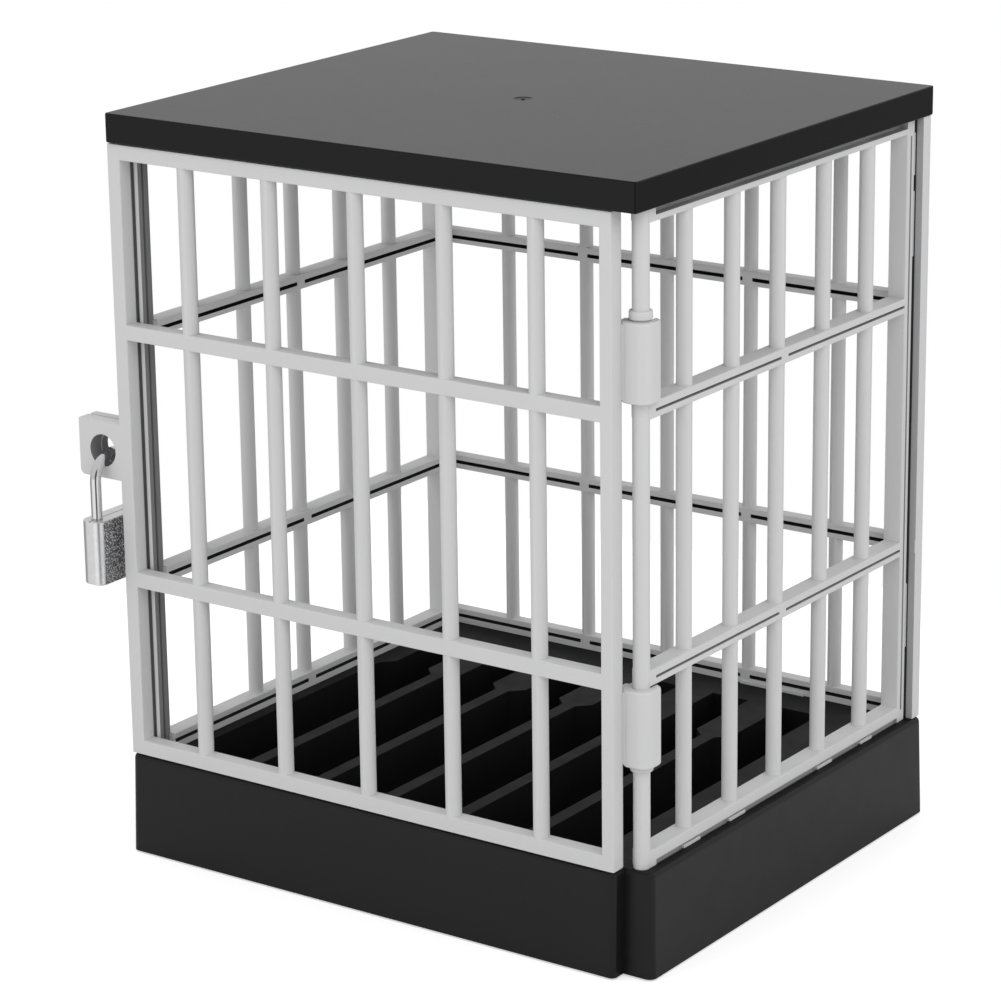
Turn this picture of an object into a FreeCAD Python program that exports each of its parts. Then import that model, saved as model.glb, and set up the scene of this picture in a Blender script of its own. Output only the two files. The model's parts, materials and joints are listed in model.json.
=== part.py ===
import FreeCAD, Part
import math
import os

# Barred cell for phones, with a hinged door and a small padlock.
#
# Units are millimetres. The origin is on the table, under the middle of the
# base. +Z is up, the door is on the -Y side, its hinge is at +X and the
# padlock hangs at -X.

V = FreeCAD.Vector

# ------------------------------------------------------------ whole cell
base_top = 27.2             # top face of the base and of the rack in it
lid_under = 188.1           # underside of the lid, where the walls end
lid_top = 195.5
gap = 0.3                   # air between the door and what stands still

# ------------------------------------------------------------ base
foot_stand = 0.5            # the foot pad lifts the shell this far off the table
base_half_x = 78.75         # half width of the base at its top
base_half_y = 67.9          # half depth of the base at its top
base_flare = 0.6            # how much wider each side is at the bottom
base_edge = 1.2             # rounding of the upper outer edge
corner_round = 2.0          # rounding of the upright corners
shell_wall = 2.6
ledge_top = 22.7            # ledge that carries the rack and the walls
ledge_under = 20.2
seat_half_x = 75.6          # opening that takes the rack and the wall tongues
seat_front = -58.6
seat_rear = 66.4
ledge_half_x = 69.8         # smaller opening through the ledge
ledge_front = -56.9
ledge_rear = 62.9
step_x = 71.1               # the front face ends here; right of it the base stands back
step_front = -63.7
step_round = 1.4            # rounding of the upright edge where the front face ends
step_wall = 2.5
boss_x = 73.2
boss_ys = (-48.0, 57.5)
boss_radius = 3.2
screw_radius = 1.25
cover_under = 1.5
cover_top = 3.5
foot_pad_half_x = 64.0
foot_pad_half_y = 54.0
foot_pad_corner = 6.0

# ------------------------------------------------------------ phone rack
rack_half_x = 71.6
rack_front = -58.5
rack_rear = 64.7
deck_thickness = 2.5
slot_count = 6
slot_pitch = 21.8
slot_width = 17.9
slot_narrow_width = 11.1    # each slot narrows towards its rear end
slot_middle_x = -4.2        # middle of the row of slots
slot_front = -55.0
slot_taper_start = 24.0
slot_rear = 53.3
slot_depth = 20.0
well_wall = 1.5

# ------------------------------------------------------------ walls
wall_outer = 76.0           # outer face of the side walls
wall_inner = 71.0
wall_end = 63.0             # rear ends of the side walls
left_wall_front = -63.5
rail_bottom = (27.2, 31.5)
rail_lower_mid = (73.0, 77.0)
rail_upper_mid = (138.0, 142.0)
rail_top = (184.2, 188.1)
bar_radius = 1.95
bar_inset = 0.4             # the bars stand back this far from the outer face
bar_sink = 1.0              # the bars run this far into the rails
stile_width = 3.7
front_stile_inner = 72.5    # the front stile of the left wall is thinner
front_stile_width = 4.1
front_stile_channel = (-62.1, -61.3)
front_groove_x = (73.6, 75.0)       # groove in the front face of that stile
front_groove_depth = 0.9
tongue_x = (71.8, 75.4)     # tongues above and below each side wall
tongue_top = 191.0
left_bar_ys = (-43.6, -22.5, -1.5, 19.3, 40.7)
right_bar_ys = (-41.5, -20.5, 0.4, 21.9, 43.2)

back_inner = 64.1
back_outer = 67.9
back_half_x = 77.9
back_stile_width = 5.2
back_bar_radius = 1.85
back_bar_xs = (-51.5, -25.8, 0.1, 26.3, 53.0)
back_tongue_y = (64.9, 66.2)

inner_groove_depth = 2.6
outer_groove_depth = 1.6
inner_groove_heights = ((29.0, 30.0), (74.5, 75.5), (139.3, 140.3))
outer_groove_heights = ((74.5, 75.2), (139.5, 140.2))
stile_groove = (60.9, 61.6)
foot_strip_recess = 0.9     # sunk strips along the foot and the top of a wall
top_strip_recess = 2.2
locating_ribs = ((47.0, 64.5), (152.0, 169.0), (173.0, 184.0))
clip_tabs = ((-44.8, -37.4), (-23.9, -16.6), (18.5, 25.7), (40.4, 46.1))
top_tabs = ((-42.7, -18.6), (16.5, 43.8))

# ------------------------------------------------------------ lid
lid_half_x = 78.15
lid_half_y = 68.75
lid_plate = 2.0
lid_rim_x = 69.5            # inner faces of the rim that holds the walls
lid_rim_front = -60.0
lid_rim_rear = 62.5
gate_mark_radius = 2.5

# ------------------------------------------------------------ door and hinge
door_front = -68.0
door_rear = -63.8
door_left = -78.3
door_right = 70.9
door_stile_left = 4.0
door_stile_right = 3.4
hinge_stile_rear = -62.8
door_bottom = base_top + gap
door_top = lid_under - gap
door_bar_radius = 2.0
door_bar_xs = (-55.2, -29.2, -3.2, 22.8, 48.8)
door_rails = ((door_bottom, 31.5), (73.0, 77.1), (138.0, 142.0), (183.8, door_top))

hinge_x = 73.76
hinge_y = -60.12
post_radius = 2.06
hinge_fit = 0.06            # running clearance of the knuckles on the post
knuckle_half = 4.1
knuckle_round = 2.9
knuckle_heights = ((53.4, 72.6), (142.3, 161.5))
knuckle_mouth = 3.7         # the knuckles snap on the post through this slit
collar_radius = 2.8
rail_start = 2.9            # grooves and strips of the hinge wall begin this far behind its post
collars = ((51.9, 53.1), (161.8, 163.9))

# ------------------------------------------------------------ hasp
hasp_left = -91.8
hasp_bottom = 100.7
hasp_top = 115.7
hasp_corner = 1.5
door_tab_y = (-68.0, -64.1)
wall_tab_y = (-63.5, -61.1)
eye_x = -83.95
eye_z = 108.0
eye_radius = 4.15

# ------------------------------------------------------------ padlock
lock_x = -84.0
lock_y = -64.65             # middle of the case and axis of the key plug
case_thickness = 6.6
case_width = 19.2
case_bottom = 73.8
case_top = 90.7
case_corner = 2.2
wire_radius = 1.4
arch_radius = 6.65
arch_y = -64.6
arch_z = 100.13
toe_y = arch_y - arch_radius
heel_y = arch_y + arch_radius
toe_end = 86.5
heel_end = 80.0
leg_fit = 0.1
heel_spring_seat = 74.8
pop = 4.5                   # how far the case drops off the shackle

plug_radius = 2.6
plug_fit = 0.05
plug_top = 87.4
plug_groove = (76.0, 77.0)
crank = 1.1                 # offset of the drive pin in X and in Y at rest
drive_pin_radius = 0.45
keyway_width = 0.9
keyway_half_length = 1.7
wafer_thickness = 0.8
wafer_pitch = 1.6
wafer_first = 78.0
wafer_half_x = 1.4
wafer_half_y = 2.05

latch_z = 88.4
latch_radius = 0.8
latch_tip = -70.4
latch_block_y = (-67.1, -64.4)
chamber_y = (-68.2, -61.9)
chamber_half_x = 2.1
chamber_z = (87.5, 89.4)
latch_spring_end = -60.1
pin_radius = 0.4
heel_pin_z = 86.6
pin_reach = -81.5           # blind inner end of the pins in the case


# ------------------------------------------------------------ making shapes
def block(xs, ys, zs):
    """Box between two values of x, of y and of z."""
    corner = V(xs[0], ys[0], zs[0])
    return Part.makeBox(xs[1] - xs[0], ys[1] - ys[0], zs[1] - zs[0], corner)


def rod(radius, start, end):
    """Cylinder from one point to another."""
    along = end.sub(start)
    return Part.makeCylinder(radius, along.Length, start, along)


def upright(radius, x, y, zs):
    """Cylinder along Z."""
    return rod(radius, V(x, y, zs[0]), V(x, y, zs[1]))


def fuse(pieces):
    """One solid from pieces that overlap or touch."""
    return pieces[0].multiFuse(pieces[1:]).removeSplitter()


def cut(body, tools):
    """The body with every tool taken out of it."""
    return body.cut(Part.makeCompound(tools)).removeSplitter()


def rounded_wire(corners, z):
    """Closed outline at height z through corners given as (x, y, radius)."""
    arcs = []
    for index, (x, y, radius) in enumerate(corners):
        here = V(x, y, z)
        previous = corners[index - 1]
        following = corners[(index + 1) % len(corners)]
        back = V(previous[0], previous[1], z).sub(here).normalize()
        on = V(following[0], following[1], z).sub(here).normalize()
        if radius == 0.0:
            arcs.append((here, None, here))
            continue
        half_angle = back.getAngle(on) / 2.0
        reach = radius / math.tan(half_angle)
        middle = back.add(on).normalize() * (radius / math.sin(half_angle) - radius)
        arcs.append((here + back * reach, here + middle, here + on * reach))
    edges = []
    for index, (start, middle, end) in enumerate(arcs):
        if middle is not None:
            edges.append(Part.Arc(start, middle, end).toShape())
        next_start = arcs[(index + 1) % len(arcs)][0]
        edges.append(Part.LineSegment(end, next_start).toShape())
    return Part.Wire(edges)


def plate(corners, zs):
    """Upright prism with a rounded outline."""
    face = Part.Face(rounded_wire(corners, zs[0]))
    return face.extrude(V(0, 0, zs[1] - zs[0]))


def rectangle(xs, ys, radius):
    """Corners of a rectangle, all with one radius."""
    return [
        (xs[0], ys[0], radius),
        (xs[1], ys[0], radius),
        (xs[1], ys[1], radius),
        (xs[0], ys[1], radius),
    ]


def coil(mean_radius, wire, length, turns):
    """Open coil spring along +Z that stands on the plane z = 0."""
    rise = length - 2.0 * wire
    path = Part.Wire(Part.makeHelix(rise / turns, rise, mean_radius).Edges)
    start = V(mean_radius, 0, 0)
    section = Part.Wire(Part.Circle(start, V(0, 1, 0), wire).toShape())
    solid = path.makePipeShell([section], True, True)
    solid.translate(V(0, 0, wire))
    return solid


def edges_where(shape, wanted):
    """Edges of a shape whose bounding box passes a test."""
    return [edge for edge in shape.Edges if wanted(edge.BoundBox)]


def save(name, pieces):
    """Write one node: one solid, or a group of equal separate ones."""
    shape = pieces[0] if len(pieces) == 1 else Part.makeCompound(pieces)
    solids = shape.Solids
    shape = solids[0] if len(solids) == 1 else Part.makeCompound(solids)
    shape.exportStep(os.path.join("parts", name + ".step"))
    box = shape.BoundBox
    print("%-20s solids %d valid %s volume %9.1f  x %7.2f %7.2f  y %7.2f %7.2f  z %7.2f %7.2f" % (
        name, len(solids), shape.isValid(), shape.Volume,
        box.XMin, box.XMax, box.YMin, box.YMax, box.ZMin, box.ZMax))


# ------------------------------------------------------------ base
def base_outline(spread):
    """Outline of the base; spread moves only its outer faces."""
    right = base_half_x + spread
    front = -base_half_y - spread
    rear = base_half_y + spread
    return [
        (-right, front, corner_round),
        (step_x, front, step_round),
        (step_x, step_front - spread, 0.0),
        (right, step_front - spread, corner_round),
        (right, rear, corner_round),
        (-right, rear, corner_round),
    ]


def cavity_outline(inset):
    """Outline of the space under the ledge, with the same step in its front."""
    half_x = base_half_x - shell_wall - inset
    half_y = base_half_y - shell_wall - inset
    front_right = step_x - step_wall - inset
    step_rear = step_front + step_wall + inset
    return [
        (-half_x, -half_y, 1.0),
        (front_right, -half_y, 1.0),
        (front_right, step_rear, 1.0),
        (half_x, step_rear, 1.0),
        (half_x, half_y, 1.0),
        (-half_x, half_y, 1.0),
    ]


def boss_places():
    """Where the four cover screws stand."""
    return [(side * boss_x, y) for side in (-1, 1) for y in boss_ys]


def make_base_shell():
    """Skirt of the base with the ledge that carries rack and walls."""
    lower = rounded_wire(base_outline(base_flare), foot_stand)
    upper = rounded_wire(base_outline(0.0), base_top)
    shell = Part.makeLoft([lower, upper], True, True)
    top_edges = edges_where(shell, lambda box: box.ZMin > base_top - 0.01)
    shell = shell.makeFillet(base_edge, top_edges)
    hollow = plate(cavity_outline(0.0), (foot_stand, ledge_under))
    through = block((-ledge_half_x, ledge_half_x), (ledge_front, ledge_rear), (ledge_under, ledge_top))
    seat = block((-seat_half_x, seat_half_x), (seat_front, seat_rear), (ledge_top, base_top))
    front_relief = block(
        (-base_half_x + shell_wall, step_x - step_wall),
        (-base_half_y + shell_wall, seat_front - shell_wall),
        (ledge_under, base_top - shell_wall),
    )
    shell = cut(shell, [hollow, through, seat, front_relief])
    bosses = [upright(boss_radius, x, y, (cover_top, ledge_under + 0.5)) for x, y in boss_places()]
    pilots = [upright(screw_radius, x, y, (cover_top, 15.0)) for x, y in boss_places()]
    shell = fuse([shell] + bosses)
    return cut(shell, pilots + [through])


def make_base_cover():
    """Plate that closes the base from below."""
    cover = plate(cavity_outline(0.2), (cover_under, cover_top))
    tools = []
    for x, y in boss_places():
        tools.append(upright(screw_radius + 0.25, x, y, (cover_under, cover_top)))
        tools.append(upright(2.6, x, y, (cover_under, cover_under + 1.2)))
    return cut(cover, tools)


def make_cover_screw(x, y):
    """Pan-head screw with a cross recess, head downwards."""
    head_under = cover_under + 0.1
    head_top = cover_under + 1.2
    head = upright(2.3, x, y, (head_under, head_top))
    head = head.makeFillet(0.5, edges_where(head, lambda box: box.ZMax < head_under + 0.01))
    shank = upright(screw_radius, x, y, (head_top - 0.2, 13.0))
    tip = Part.makeCone(screw_radius, 0.5, 1.2, V(x, y, 13.0))
    recess = [
        block((x - 1.2, x + 1.2), (y - 0.25, y + 0.25), (head_under, head_under + 0.7)),
        block((x - 0.25, x + 0.25), (y - 1.2, y + 1.2), (head_under, head_under + 0.7)),
    ]
    return cut(fuse([head, shank, tip]), recess)


def make_foot_pad():
    """Flat rubber pad that the cell stands on, glued under the cover."""
    xs = (-foot_pad_half_x, foot_pad_half_x)
    ys = (-foot_pad_half_y, foot_pad_half_y)
    return plate(rectangle(xs, ys, foot_pad_corner), (0.0, cover_under))


def slot_middles():
    """Middle of each slot in X."""
    first = slot_middle_x - slot_pitch * (slot_count - 1) / 2.0
    return [first + slot_pitch * index for index in range(slot_count)]


def slot_well(x):
    """Space of one slot: wide in front, narrower behind a short taper."""
    wide = slot_width / 2.0
    narrow = slot_narrow_width / 2.0
    taper_end = slot_taper_start + wide - narrow
    outline = [
        (x - wide, slot_front, 0.8),
        (x + wide, slot_front, 0.8),
        (x + wide, slot_taper_start, 0.0),
        (x + narrow, taper_end, 0.0),
        (x + narrow, slot_rear, 0.8),
        (x - narrow, slot_rear, 0.8),
        (x - narrow, taper_end, 0.0),
        (x - wide, slot_taper_start, 0.0),
    ]
    return plate(outline, (base_top - slot_depth, base_top + 1.0))


def make_rack_tray():
    """Deck with six wells that phones stand in on edge."""
    deck_under = base_top - deck_thickness
    middles = slot_middles()
    outline = rectangle((-rack_half_x, rack_half_x), (rack_front, rack_rear), 0.0)
    deck = plate(outline, (deck_under, base_top))
    rim = cut(
        plate(outline, (ledge_top, deck_under + 0.5)),
        [block((-ledge_half_x, ledge_half_x), (ledge_front, ledge_rear), (ledge_top, deck_under + 0.5))],
    )
    wells_left = middles[0] - slot_width / 2.0 - well_wall
    wells_right = middles[-1] + slot_width / 2.0 + well_wall
    wells_under = base_top - slot_depth - well_wall
    tub = block(
        (wells_left, wells_right),
        (slot_front - well_wall, slot_rear + well_wall),
        (wells_under, deck_under + 0.5),
    )
    tools = [slot_well(x) for x in middles]
    hollow_half = (slot_pitch - slot_narrow_width) / 2.0 - well_wall
    hollow_front = slot_taper_start + (slot_width - slot_narrow_width) / 2.0 + well_wall
    for x in middles[:-1]:
        rib_x = x + slot_pitch / 2.0
        tools.append(block(
            (rib_x - hollow_half, rib_x + hollow_half),
            (hollow_front, slot_rear + well_wall),
            (wells_under, deck_under),
        ))
    return cut(fuse([deck, rim, tub]), tools)


# ------------------------------------------------------------ walls
def side_rails(front):
    """The four rails of a side wall on the +X side, from front to rear."""
    rails = (rail_bottom, rail_lower_mid, rail_upper_mid, rail_top)
    return [block((wall_inner, wall_outer), (front, wall_end), zs) for zs in rails]


def side_bars(ys):
    """Round bars between the bottom and the top rail."""
    x = wall_outer - bar_radius - bar_inset
    zs = (rail_bottom[1] - bar_sink, rail_top[0] + bar_sink)
    return [upright(bar_radius, x, y, zs) for y in ys]


def side_tongues():
    """Tongues that sit in the base and in the lid."""
    ys = (seat_front + gap, wall_end)
    return [
        block(tongue_x, ys, (ledge_top, rail_bottom[0] + bar_sink)),
        block(tongue_x, ys, (rail_top[1] - bar_sink, tongue_top)),
    ]


def side_grooves(front, bars):
    """Moulding grooves of a side wall; they stop short at its third bar."""
    middle = bars[2]
    tools = []
    for ys in ((front, middle - 1.6), (middle + 1.6, wall_end - stile_width)):
        for zs in outer_groove_heights:
            tools.append(block((wall_outer - outer_groove_depth, wall_outer), ys, zs))
        for zs in inner_groove_heights:
            tools.append(block((wall_inner, wall_inner + inner_groove_depth), ys, zs))
    stile_zs = (rail_bottom[0] + 3.3, rail_top[0] - 0.6)
    tools.append(block((wall_outer - outer_groove_depth, wall_outer), stile_groove, stile_zs))
    tools.append(block((wall_inner, wall_inner + inner_groove_depth), stile_groove, stile_zs))
    return tools


def sunk_strips(front):
    """Sunk strips along the foot and the top of the outer face."""
    ys = (front, wall_end - stile_width)
    foot_zs = (rail_bottom[0], rail_bottom[0] + 1.5)
    top_zs = (rail_top[0] + 1.5, rail_top[1])
    return [
        block((wall_outer - foot_strip_recess, wall_outer), ys, foot_zs),
        block((wall_outer - top_strip_recess, wall_outer), ys, top_zs),
    ]


def strip_tabs():
    """Clip tabs that stand in the sunk strips, flush with the outer face."""
    foot_xs = (wall_outer - foot_strip_recess - 0.2, wall_outer)
    top_xs = (wall_outer - top_strip_recess - 0.2, wall_outer)
    tabs = [block(foot_xs, ys, (rail_bottom[0], rail_bottom[0] + 0.8)) for ys in clip_tabs]
    tabs += [block(top_xs, ys, (rail_top[1] - 0.7, rail_top[1])) for ys in top_tabs]
    return tabs


def tab_slits():
    """Slit in front of each lower clip tab."""
    xs = (wall_outer - foot_strip_recess - 0.6, wall_outer)
    zs = (rail_bottom[0], rail_bottom[0] + 1.2)
    return [block(xs, (ys[0] - 1.2, ys[0]), zs) for ys in clip_tabs]


def make_hinge_wall():
    """Right wall; its front edge is the round post that the door turns on."""
    post = upright(post_radius, hinge_x, hinge_y, (rail_bottom[0], rail_top[1]))
    rings = [upright(collar_radius, hinge_x, hinge_y, zs) for zs in collars]
    stile = block(
        (wall_inner, wall_outer),
        (wall_end - stile_width, wall_end),
        (rail_bottom[0], rail_top[1]),
    )
    pieces = side_rails(hinge_y) + side_bars(right_bar_ys) + side_tongues()
    wall = fuse(pieces + [stile, post] + rings)
    groove_front = hinge_y + rail_start
    wall = cut(wall, side_grooves(groove_front, right_bar_ys) + sunk_strips(groove_front))
    wall = fuse([wall] + strip_tabs())
    return cut(wall, tab_slits())


def hasp_tab(xs, ys):
    """Plate of the hasp with its eye and one rounded lower corner."""
    tab = block(xs, ys, (hasp_bottom, hasp_top))
    corner = edges_where(
        tab,
        lambda box: box.XMax < xs[0] + 0.01 and box.ZMax < hasp_bottom + 0.01,
    )
    tab = tab.makeFillet(hasp_corner, corner)
    eye = rod(eye_radius, V(eye_x, ys[0] - 1, eye_z), V(eye_x, ys[1] + 1, eye_z))
    return tab.cut(eye)


def make_left_wall():
    """Left wall with the fixed tab of the hasp at its front edge."""
    front = left_wall_front + front_stile_width
    full_zs = (rail_bottom[0], rail_top[1])
    stiles = [
        block((wall_inner, wall_outer), (left_wall_front, front), full_zs),
        block((wall_inner, wall_outer), (wall_end - stile_width, wall_end), full_zs),
    ]
    pieces = side_rails(left_wall_front) + side_bars(left_bar_ys) + side_tongues()
    wall = fuse(pieces + stiles)
    channel_xs = (front_stile_inner, front_stile_inner + inner_groove_depth)
    channel_zs = (rail_bottom[0] + 3.3, rail_top[0] - 0.6)
    tools = side_grooves(front, left_bar_ys) + sunk_strips(front)
    tools.append(block((wall_inner, front_stile_inner), (left_wall_front, front), full_zs))
    tools.append(block(channel_xs, front_stile_channel, channel_zs))
    groove_ys = (left_wall_front, left_wall_front + front_groove_depth)
    tools.append(block(front_groove_x, groove_ys, channel_zs))
    wall = fuse([cut(wall, tools)] + strip_tabs())
    wall = cut(wall, tab_slits())
    wall = wall.mirror(V(0, 0, 0), V(1, 0, 0))
    return fuse([wall, hasp_tab((hasp_left, -wall_outer + bar_sink), wall_tab_y)])


def make_back_wall():
    """Back wall, between the rear ends of base and lid."""
    ys = (back_inner, back_outer)
    rails = [
        block((-back_half_x, back_half_x), ys, zs)
        for zs in (rail_bottom, rail_lower_mid, rail_upper_mid, rail_top)
    ]
    stiles = [
        block(xs, ys, (rail_bottom[0], rail_top[1]))
        for xs in (
            (-back_half_x, -back_half_x + back_stile_width),
            (back_half_x - back_stile_width, back_half_x),
        )
    ]
    middle_y = (back_inner + back_outer) / 2.0
    bar_zs = (rail_bottom[1] - bar_sink, rail_top[0] + bar_sink)
    bars = [upright(back_bar_radius, x, middle_y, bar_zs) for x in back_bar_xs]
    tongue_xs = (-wall_inner, wall_inner)
    tongues = [
        block(tongue_xs, back_tongue_y, (ledge_top, rail_bottom[0] + bar_sink)),
        block(tongue_xs, back_tongue_y, (rail_top[1] - bar_sink, tongue_top)),
    ]
    ribs = [
        block(xs, (wall_end, back_inner + 0.5), zs)
        for xs in ((-75.6, -72.2), (72.2, 75.6)) for zs in locating_ribs
    ]
    foot_tab = block((25.0, 45.0), (back_inner - 0.5, back_inner + 0.5), (rail_bottom[0], 28.2))
    wall = fuse(rails + stiles + bars + tongues + ribs + [foot_tab])
    breaks = (back_bar_xs[1], back_bar_xs[3])
    runs = (
        (-back_half_x + back_stile_width, breaks[0] - 1.5),
        (breaks[0] + 1.5, breaks[1] - 1.5),
        (breaks[1] + 1.5, back_half_x - back_stile_width),
    )
    grooves = [
        block(xs, (back_inner, back_inner + inner_groove_depth), zs)
        for xs in runs for zs in inner_groove_heights
    ]
    return cut(wall, grooves)


# ------------------------------------------------------------ lid
def make_lid():
    """Flat lid whose thick rim takes the upper tongues of the walls."""
    lid = block((-lid_half_x, lid_half_x), (-lid_half_y, lid_half_y), (lid_under, lid_top))
    hollow = block(
        (-lid_rim_x, lid_rim_x),
        (lid_rim_front, lid_rim_rear),
        (lid_under, lid_top - lid_plate),
    )
    tools = [hollow]
    slack = 0.1
    groove_top = tongue_top + slack
    for xs in ((-tongue_x[1] - slack, -tongue_x[0] + slack), (tongue_x[0] - slack, tongue_x[1] + slack)):
        tools.append(block(xs, (seat_front, wall_end + gap), (lid_under, groove_top)))
    tools.append(block(
        (-wall_inner - slack, wall_inner + slack),
        (back_tongue_y[0] - slack, back_tongue_y[1] + slack),
        (lid_under, groove_top),
    ))
    tools.append(Part.makeCone(gate_mark_radius - 0.6, gate_mark_radius, 0.3, V(-0.4, 0.3, lid_top - 0.3)))
    return cut(lid, tools)


# ------------------------------------------------------------ door
def make_knuckle(zs):
    """Rounded square knuckle, open behind so that it snaps on the post."""
    xs = (hinge_x - knuckle_half, hinge_x + knuckle_half)
    ys = (hinge_y - knuckle_half, hinge_y + knuckle_half)
    knuckle = plate(rectangle(xs, ys, knuckle_round), zs)
    ends = edges_where(knuckle, lambda box: box.ZMax - box.ZMin < 0.01)
    return knuckle.makeFillet(0.5, ends)


def make_door():
    """Door panel with its bars, the hasp tab and both hinge knuckles."""
    ys = (door_front, door_rear)
    rails = [block((door_left, door_right), ys, zs) for zs in door_rails]
    left_stile = block((door_left, door_left + door_stile_left), ys, (door_bottom, door_top))
    right_stile = block(
        (door_right - door_stile_right, door_right),
        (door_front, hinge_stile_rear),
        (door_bottom, door_top),
    )
    rear_edge = edges_where(
        right_stile,
        lambda box: box.XMin > door_right - 0.01 and box.YMin > hinge_stile_rear - 0.01,
    )
    right_stile = right_stile.makeFillet(1.5, rear_edge)
    rails = [
        rail.cut(block((door_right - 2.0, door_right), ys, (door_bottom, door_top)))
        for rail in rails
    ]
    middle_y = (door_front + door_rear) / 2.0
    bar_zs = (door_rails[0][1] - bar_sink, door_rails[3][0] + bar_sink)
    bars = [upright(door_bar_radius, x, middle_y, bar_zs) for x in door_bar_xs]
    tab = hasp_tab((hasp_left, door_left + bar_sink), door_tab_y)
    knuckles = [make_knuckle(zs) for zs in knuckle_heights]
    web_xs = (68.0, hinge_x - post_radius)
    web_ys = (door_rear - gap, hinge_y + post_radius)
    webs = [block(web_xs, web_ys, (zs[0] + 0.6, zs[1] - 0.6)) for zs in knuckle_heights]
    door = fuse(rails + [left_stile, right_stile, tab] + bars + knuckles + webs)
    bores = [
        upright(post_radius + hinge_fit, hinge_x, hinge_y, (zs[0] - 1, zs[1] + 1))
        for zs in knuckle_heights
    ]
    mouths = [
        block(
            (hinge_x - knuckle_mouth / 2.0, hinge_x + knuckle_mouth / 2.0),
            (hinge_y, hinge_y + knuckle_half + 1),
            (zs[0] - 0.2, zs[1] + 0.2),
        )
        for zs in knuckle_heights
    ]
    return cut(door, bores + mouths)


# ------------------------------------------------------------ padlock
def along_x(radius, y, z, xs):
    """Cylinder along X."""
    return rod(radius, V(xs[0], y, z), V(xs[1], y, z))


def along_y(radius, x, z, ys):
    """Cylinder along Y."""
    return rod(radius, V(x, ys[0], z), V(x, ys[1], z))


def lock_block(half_x, ys, zs):
    """Box that is centred on the padlock in X."""
    return block((lock_x - half_x, lock_x + half_x), ys, zs)


def make_shackle():
    """Bent wire with a latch notch in its toe and a flat on its heel."""
    start = V(lock_x, toe_y, arch_z)
    circle = Part.Face(Part.Wire(Part.Circle(start, V(0, 0, 1), wire_radius).toShape()))
    arch = circle.revolve(V(lock_x, arch_y, arch_z), V(-1, 0, 0), 180)
    toe = upright(wire_radius, lock_x, toe_y, (toe_end, arch_z))
    toe = toe.makeFillet(0.5, edges_where(toe, lambda box: box.ZMax < toe_end + 0.01))
    heel = upright(wire_radius, lock_x, heel_y, (heel_end, arch_z))
    shackle = fuse([toe, arch, heel])
    notch_bottom = toe_y + wire_radius - 0.75
    notch_side = toe_y + wire_radius + 1.0
    ramp_exit = toe_y + wire_radius - 0.15
    profile = Part.makePolygon([
        V(lock_x - 2, notch_bottom, latch_z + 1.0),
        V(lock_x - 2, notch_bottom, latch_z - 1.0),
        V(lock_x - 2, ramp_exit, toe_end),
        V(lock_x - 2, ramp_exit, toe_end - 1.0),
        V(lock_x - 2, notch_side, toe_end - 1.0),
        V(lock_x - 2, notch_side, latch_z + 1.0),
        V(lock_x - 2, notch_bottom, latch_z + 1.0),
    ])
    notch = Part.Face(profile).extrude(V(4, 0, 0))
    flat_ys = (heel_y + wire_radius - 0.7, heel_y + wire_radius + 1.0)
    flat_bottom = heel_pin_z - pop - pin_radius - 0.2
    flat = lock_block(2.0, flat_ys, (flat_bottom, heel_pin_z + pin_radius + 0.3))
    return cut(shackle, [notch, flat])


def make_lock_case():
    """Case with the leg holes, the plug bore and the latch chamber."""
    half = case_thickness / 2.0
    ys = (lock_y - case_width / 2.0, lock_y + case_width / 2.0)
    zs = (case_bottom, case_top)
    case = plate(rectangle((lock_x - half, lock_x + half), ys, case_corner), zs)
    case = case.makeChamfer(0.35, edges_where(case, lambda box: box.ZMax - box.ZMin < 0.01))
    toe_hole = upright(wire_radius + leg_fit, lock_x, toe_y, (toe_end - 0.3, case_top + 1))
    heel_hole = upright(wire_radius + leg_fit, lock_x, heel_y, (heel_spring_seat, case_top + 1))
    plug_bore = upright(plug_radius + plug_fit, lock_x, lock_y, (case_bottom - 1, chamber_z[0]))
    chamber = lock_block(chamber_half_x, chamber_y, chamber_z)
    latch_bore = along_y(latch_radius + 0.1, lock_x, latch_z, (ys[0] - 1, chamber_y[0] + 0.1))
    spring_bore = along_y(0.75, lock_x, latch_z, (chamber_y[1] - 0.1, latch_spring_end))
    broach = lock_block(wafer_half_x + 0.1, (lock_y - 3.2, lock_y + 3.2), (77.5, 84.5))
    seam = block((lock_x - 0.15, lock_x + 0.15), (ys[0] - 1, ys[1] + 1), (case_top - 0.3, case_top + 1))
    pins = case_pins()
    return cut(case, [toe_hole, heel_hole, plug_bore, chamber, latch_bore, spring_bore, broach, seam] + pins)


def case_pins():
    """Pins that keep the plug and the heel of the shackle in the case."""
    xs = (lock_x - case_thickness / 2.0, pin_reach)
    plug_pin_z = (plug_groove[0] + plug_groove[1]) / 2.0
    plug_pin = along_x(pin_radius, lock_y + plug_radius - 0.05, plug_pin_z, xs)
    heel_pin = along_x(pin_radius, heel_y + wire_radius - 0.7 + pin_radius + 0.05, heel_pin_z, xs)
    return [plug_pin, heel_pin]


def make_lock_plug():
    """Key plug with keyway, wafer slots and an offset drive pin on top."""
    plug = upright(plug_radius, lock_x, lock_y, (case_bottom, plug_top))
    drive = upright(drive_pin_radius, lock_x + crank, lock_y - crank, (plug_top - 0.5, latch_z + 0.5))
    plug = fuse([plug, drive])
    groove = upright(plug_radius + 1, lock_x, lock_y, plug_groove).cut(
        upright(plug_radius - 0.5, lock_x, lock_y, plug_groove))
    keyway = lock_block(
        keyway_width / 2.0,
        (lock_y - keyway_half_length, lock_y + keyway_half_length),
        (case_bottom - 1, 84.5),
    )
    slots = [
        lock_block(wafer_half_x + 0.05, (lock_y - 3, lock_y + 3), (z, z + wafer_thickness + 0.05))
        for z in wafer_heights()
    ]
    return cut(plug, [groove, keyway] + slots)


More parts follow.
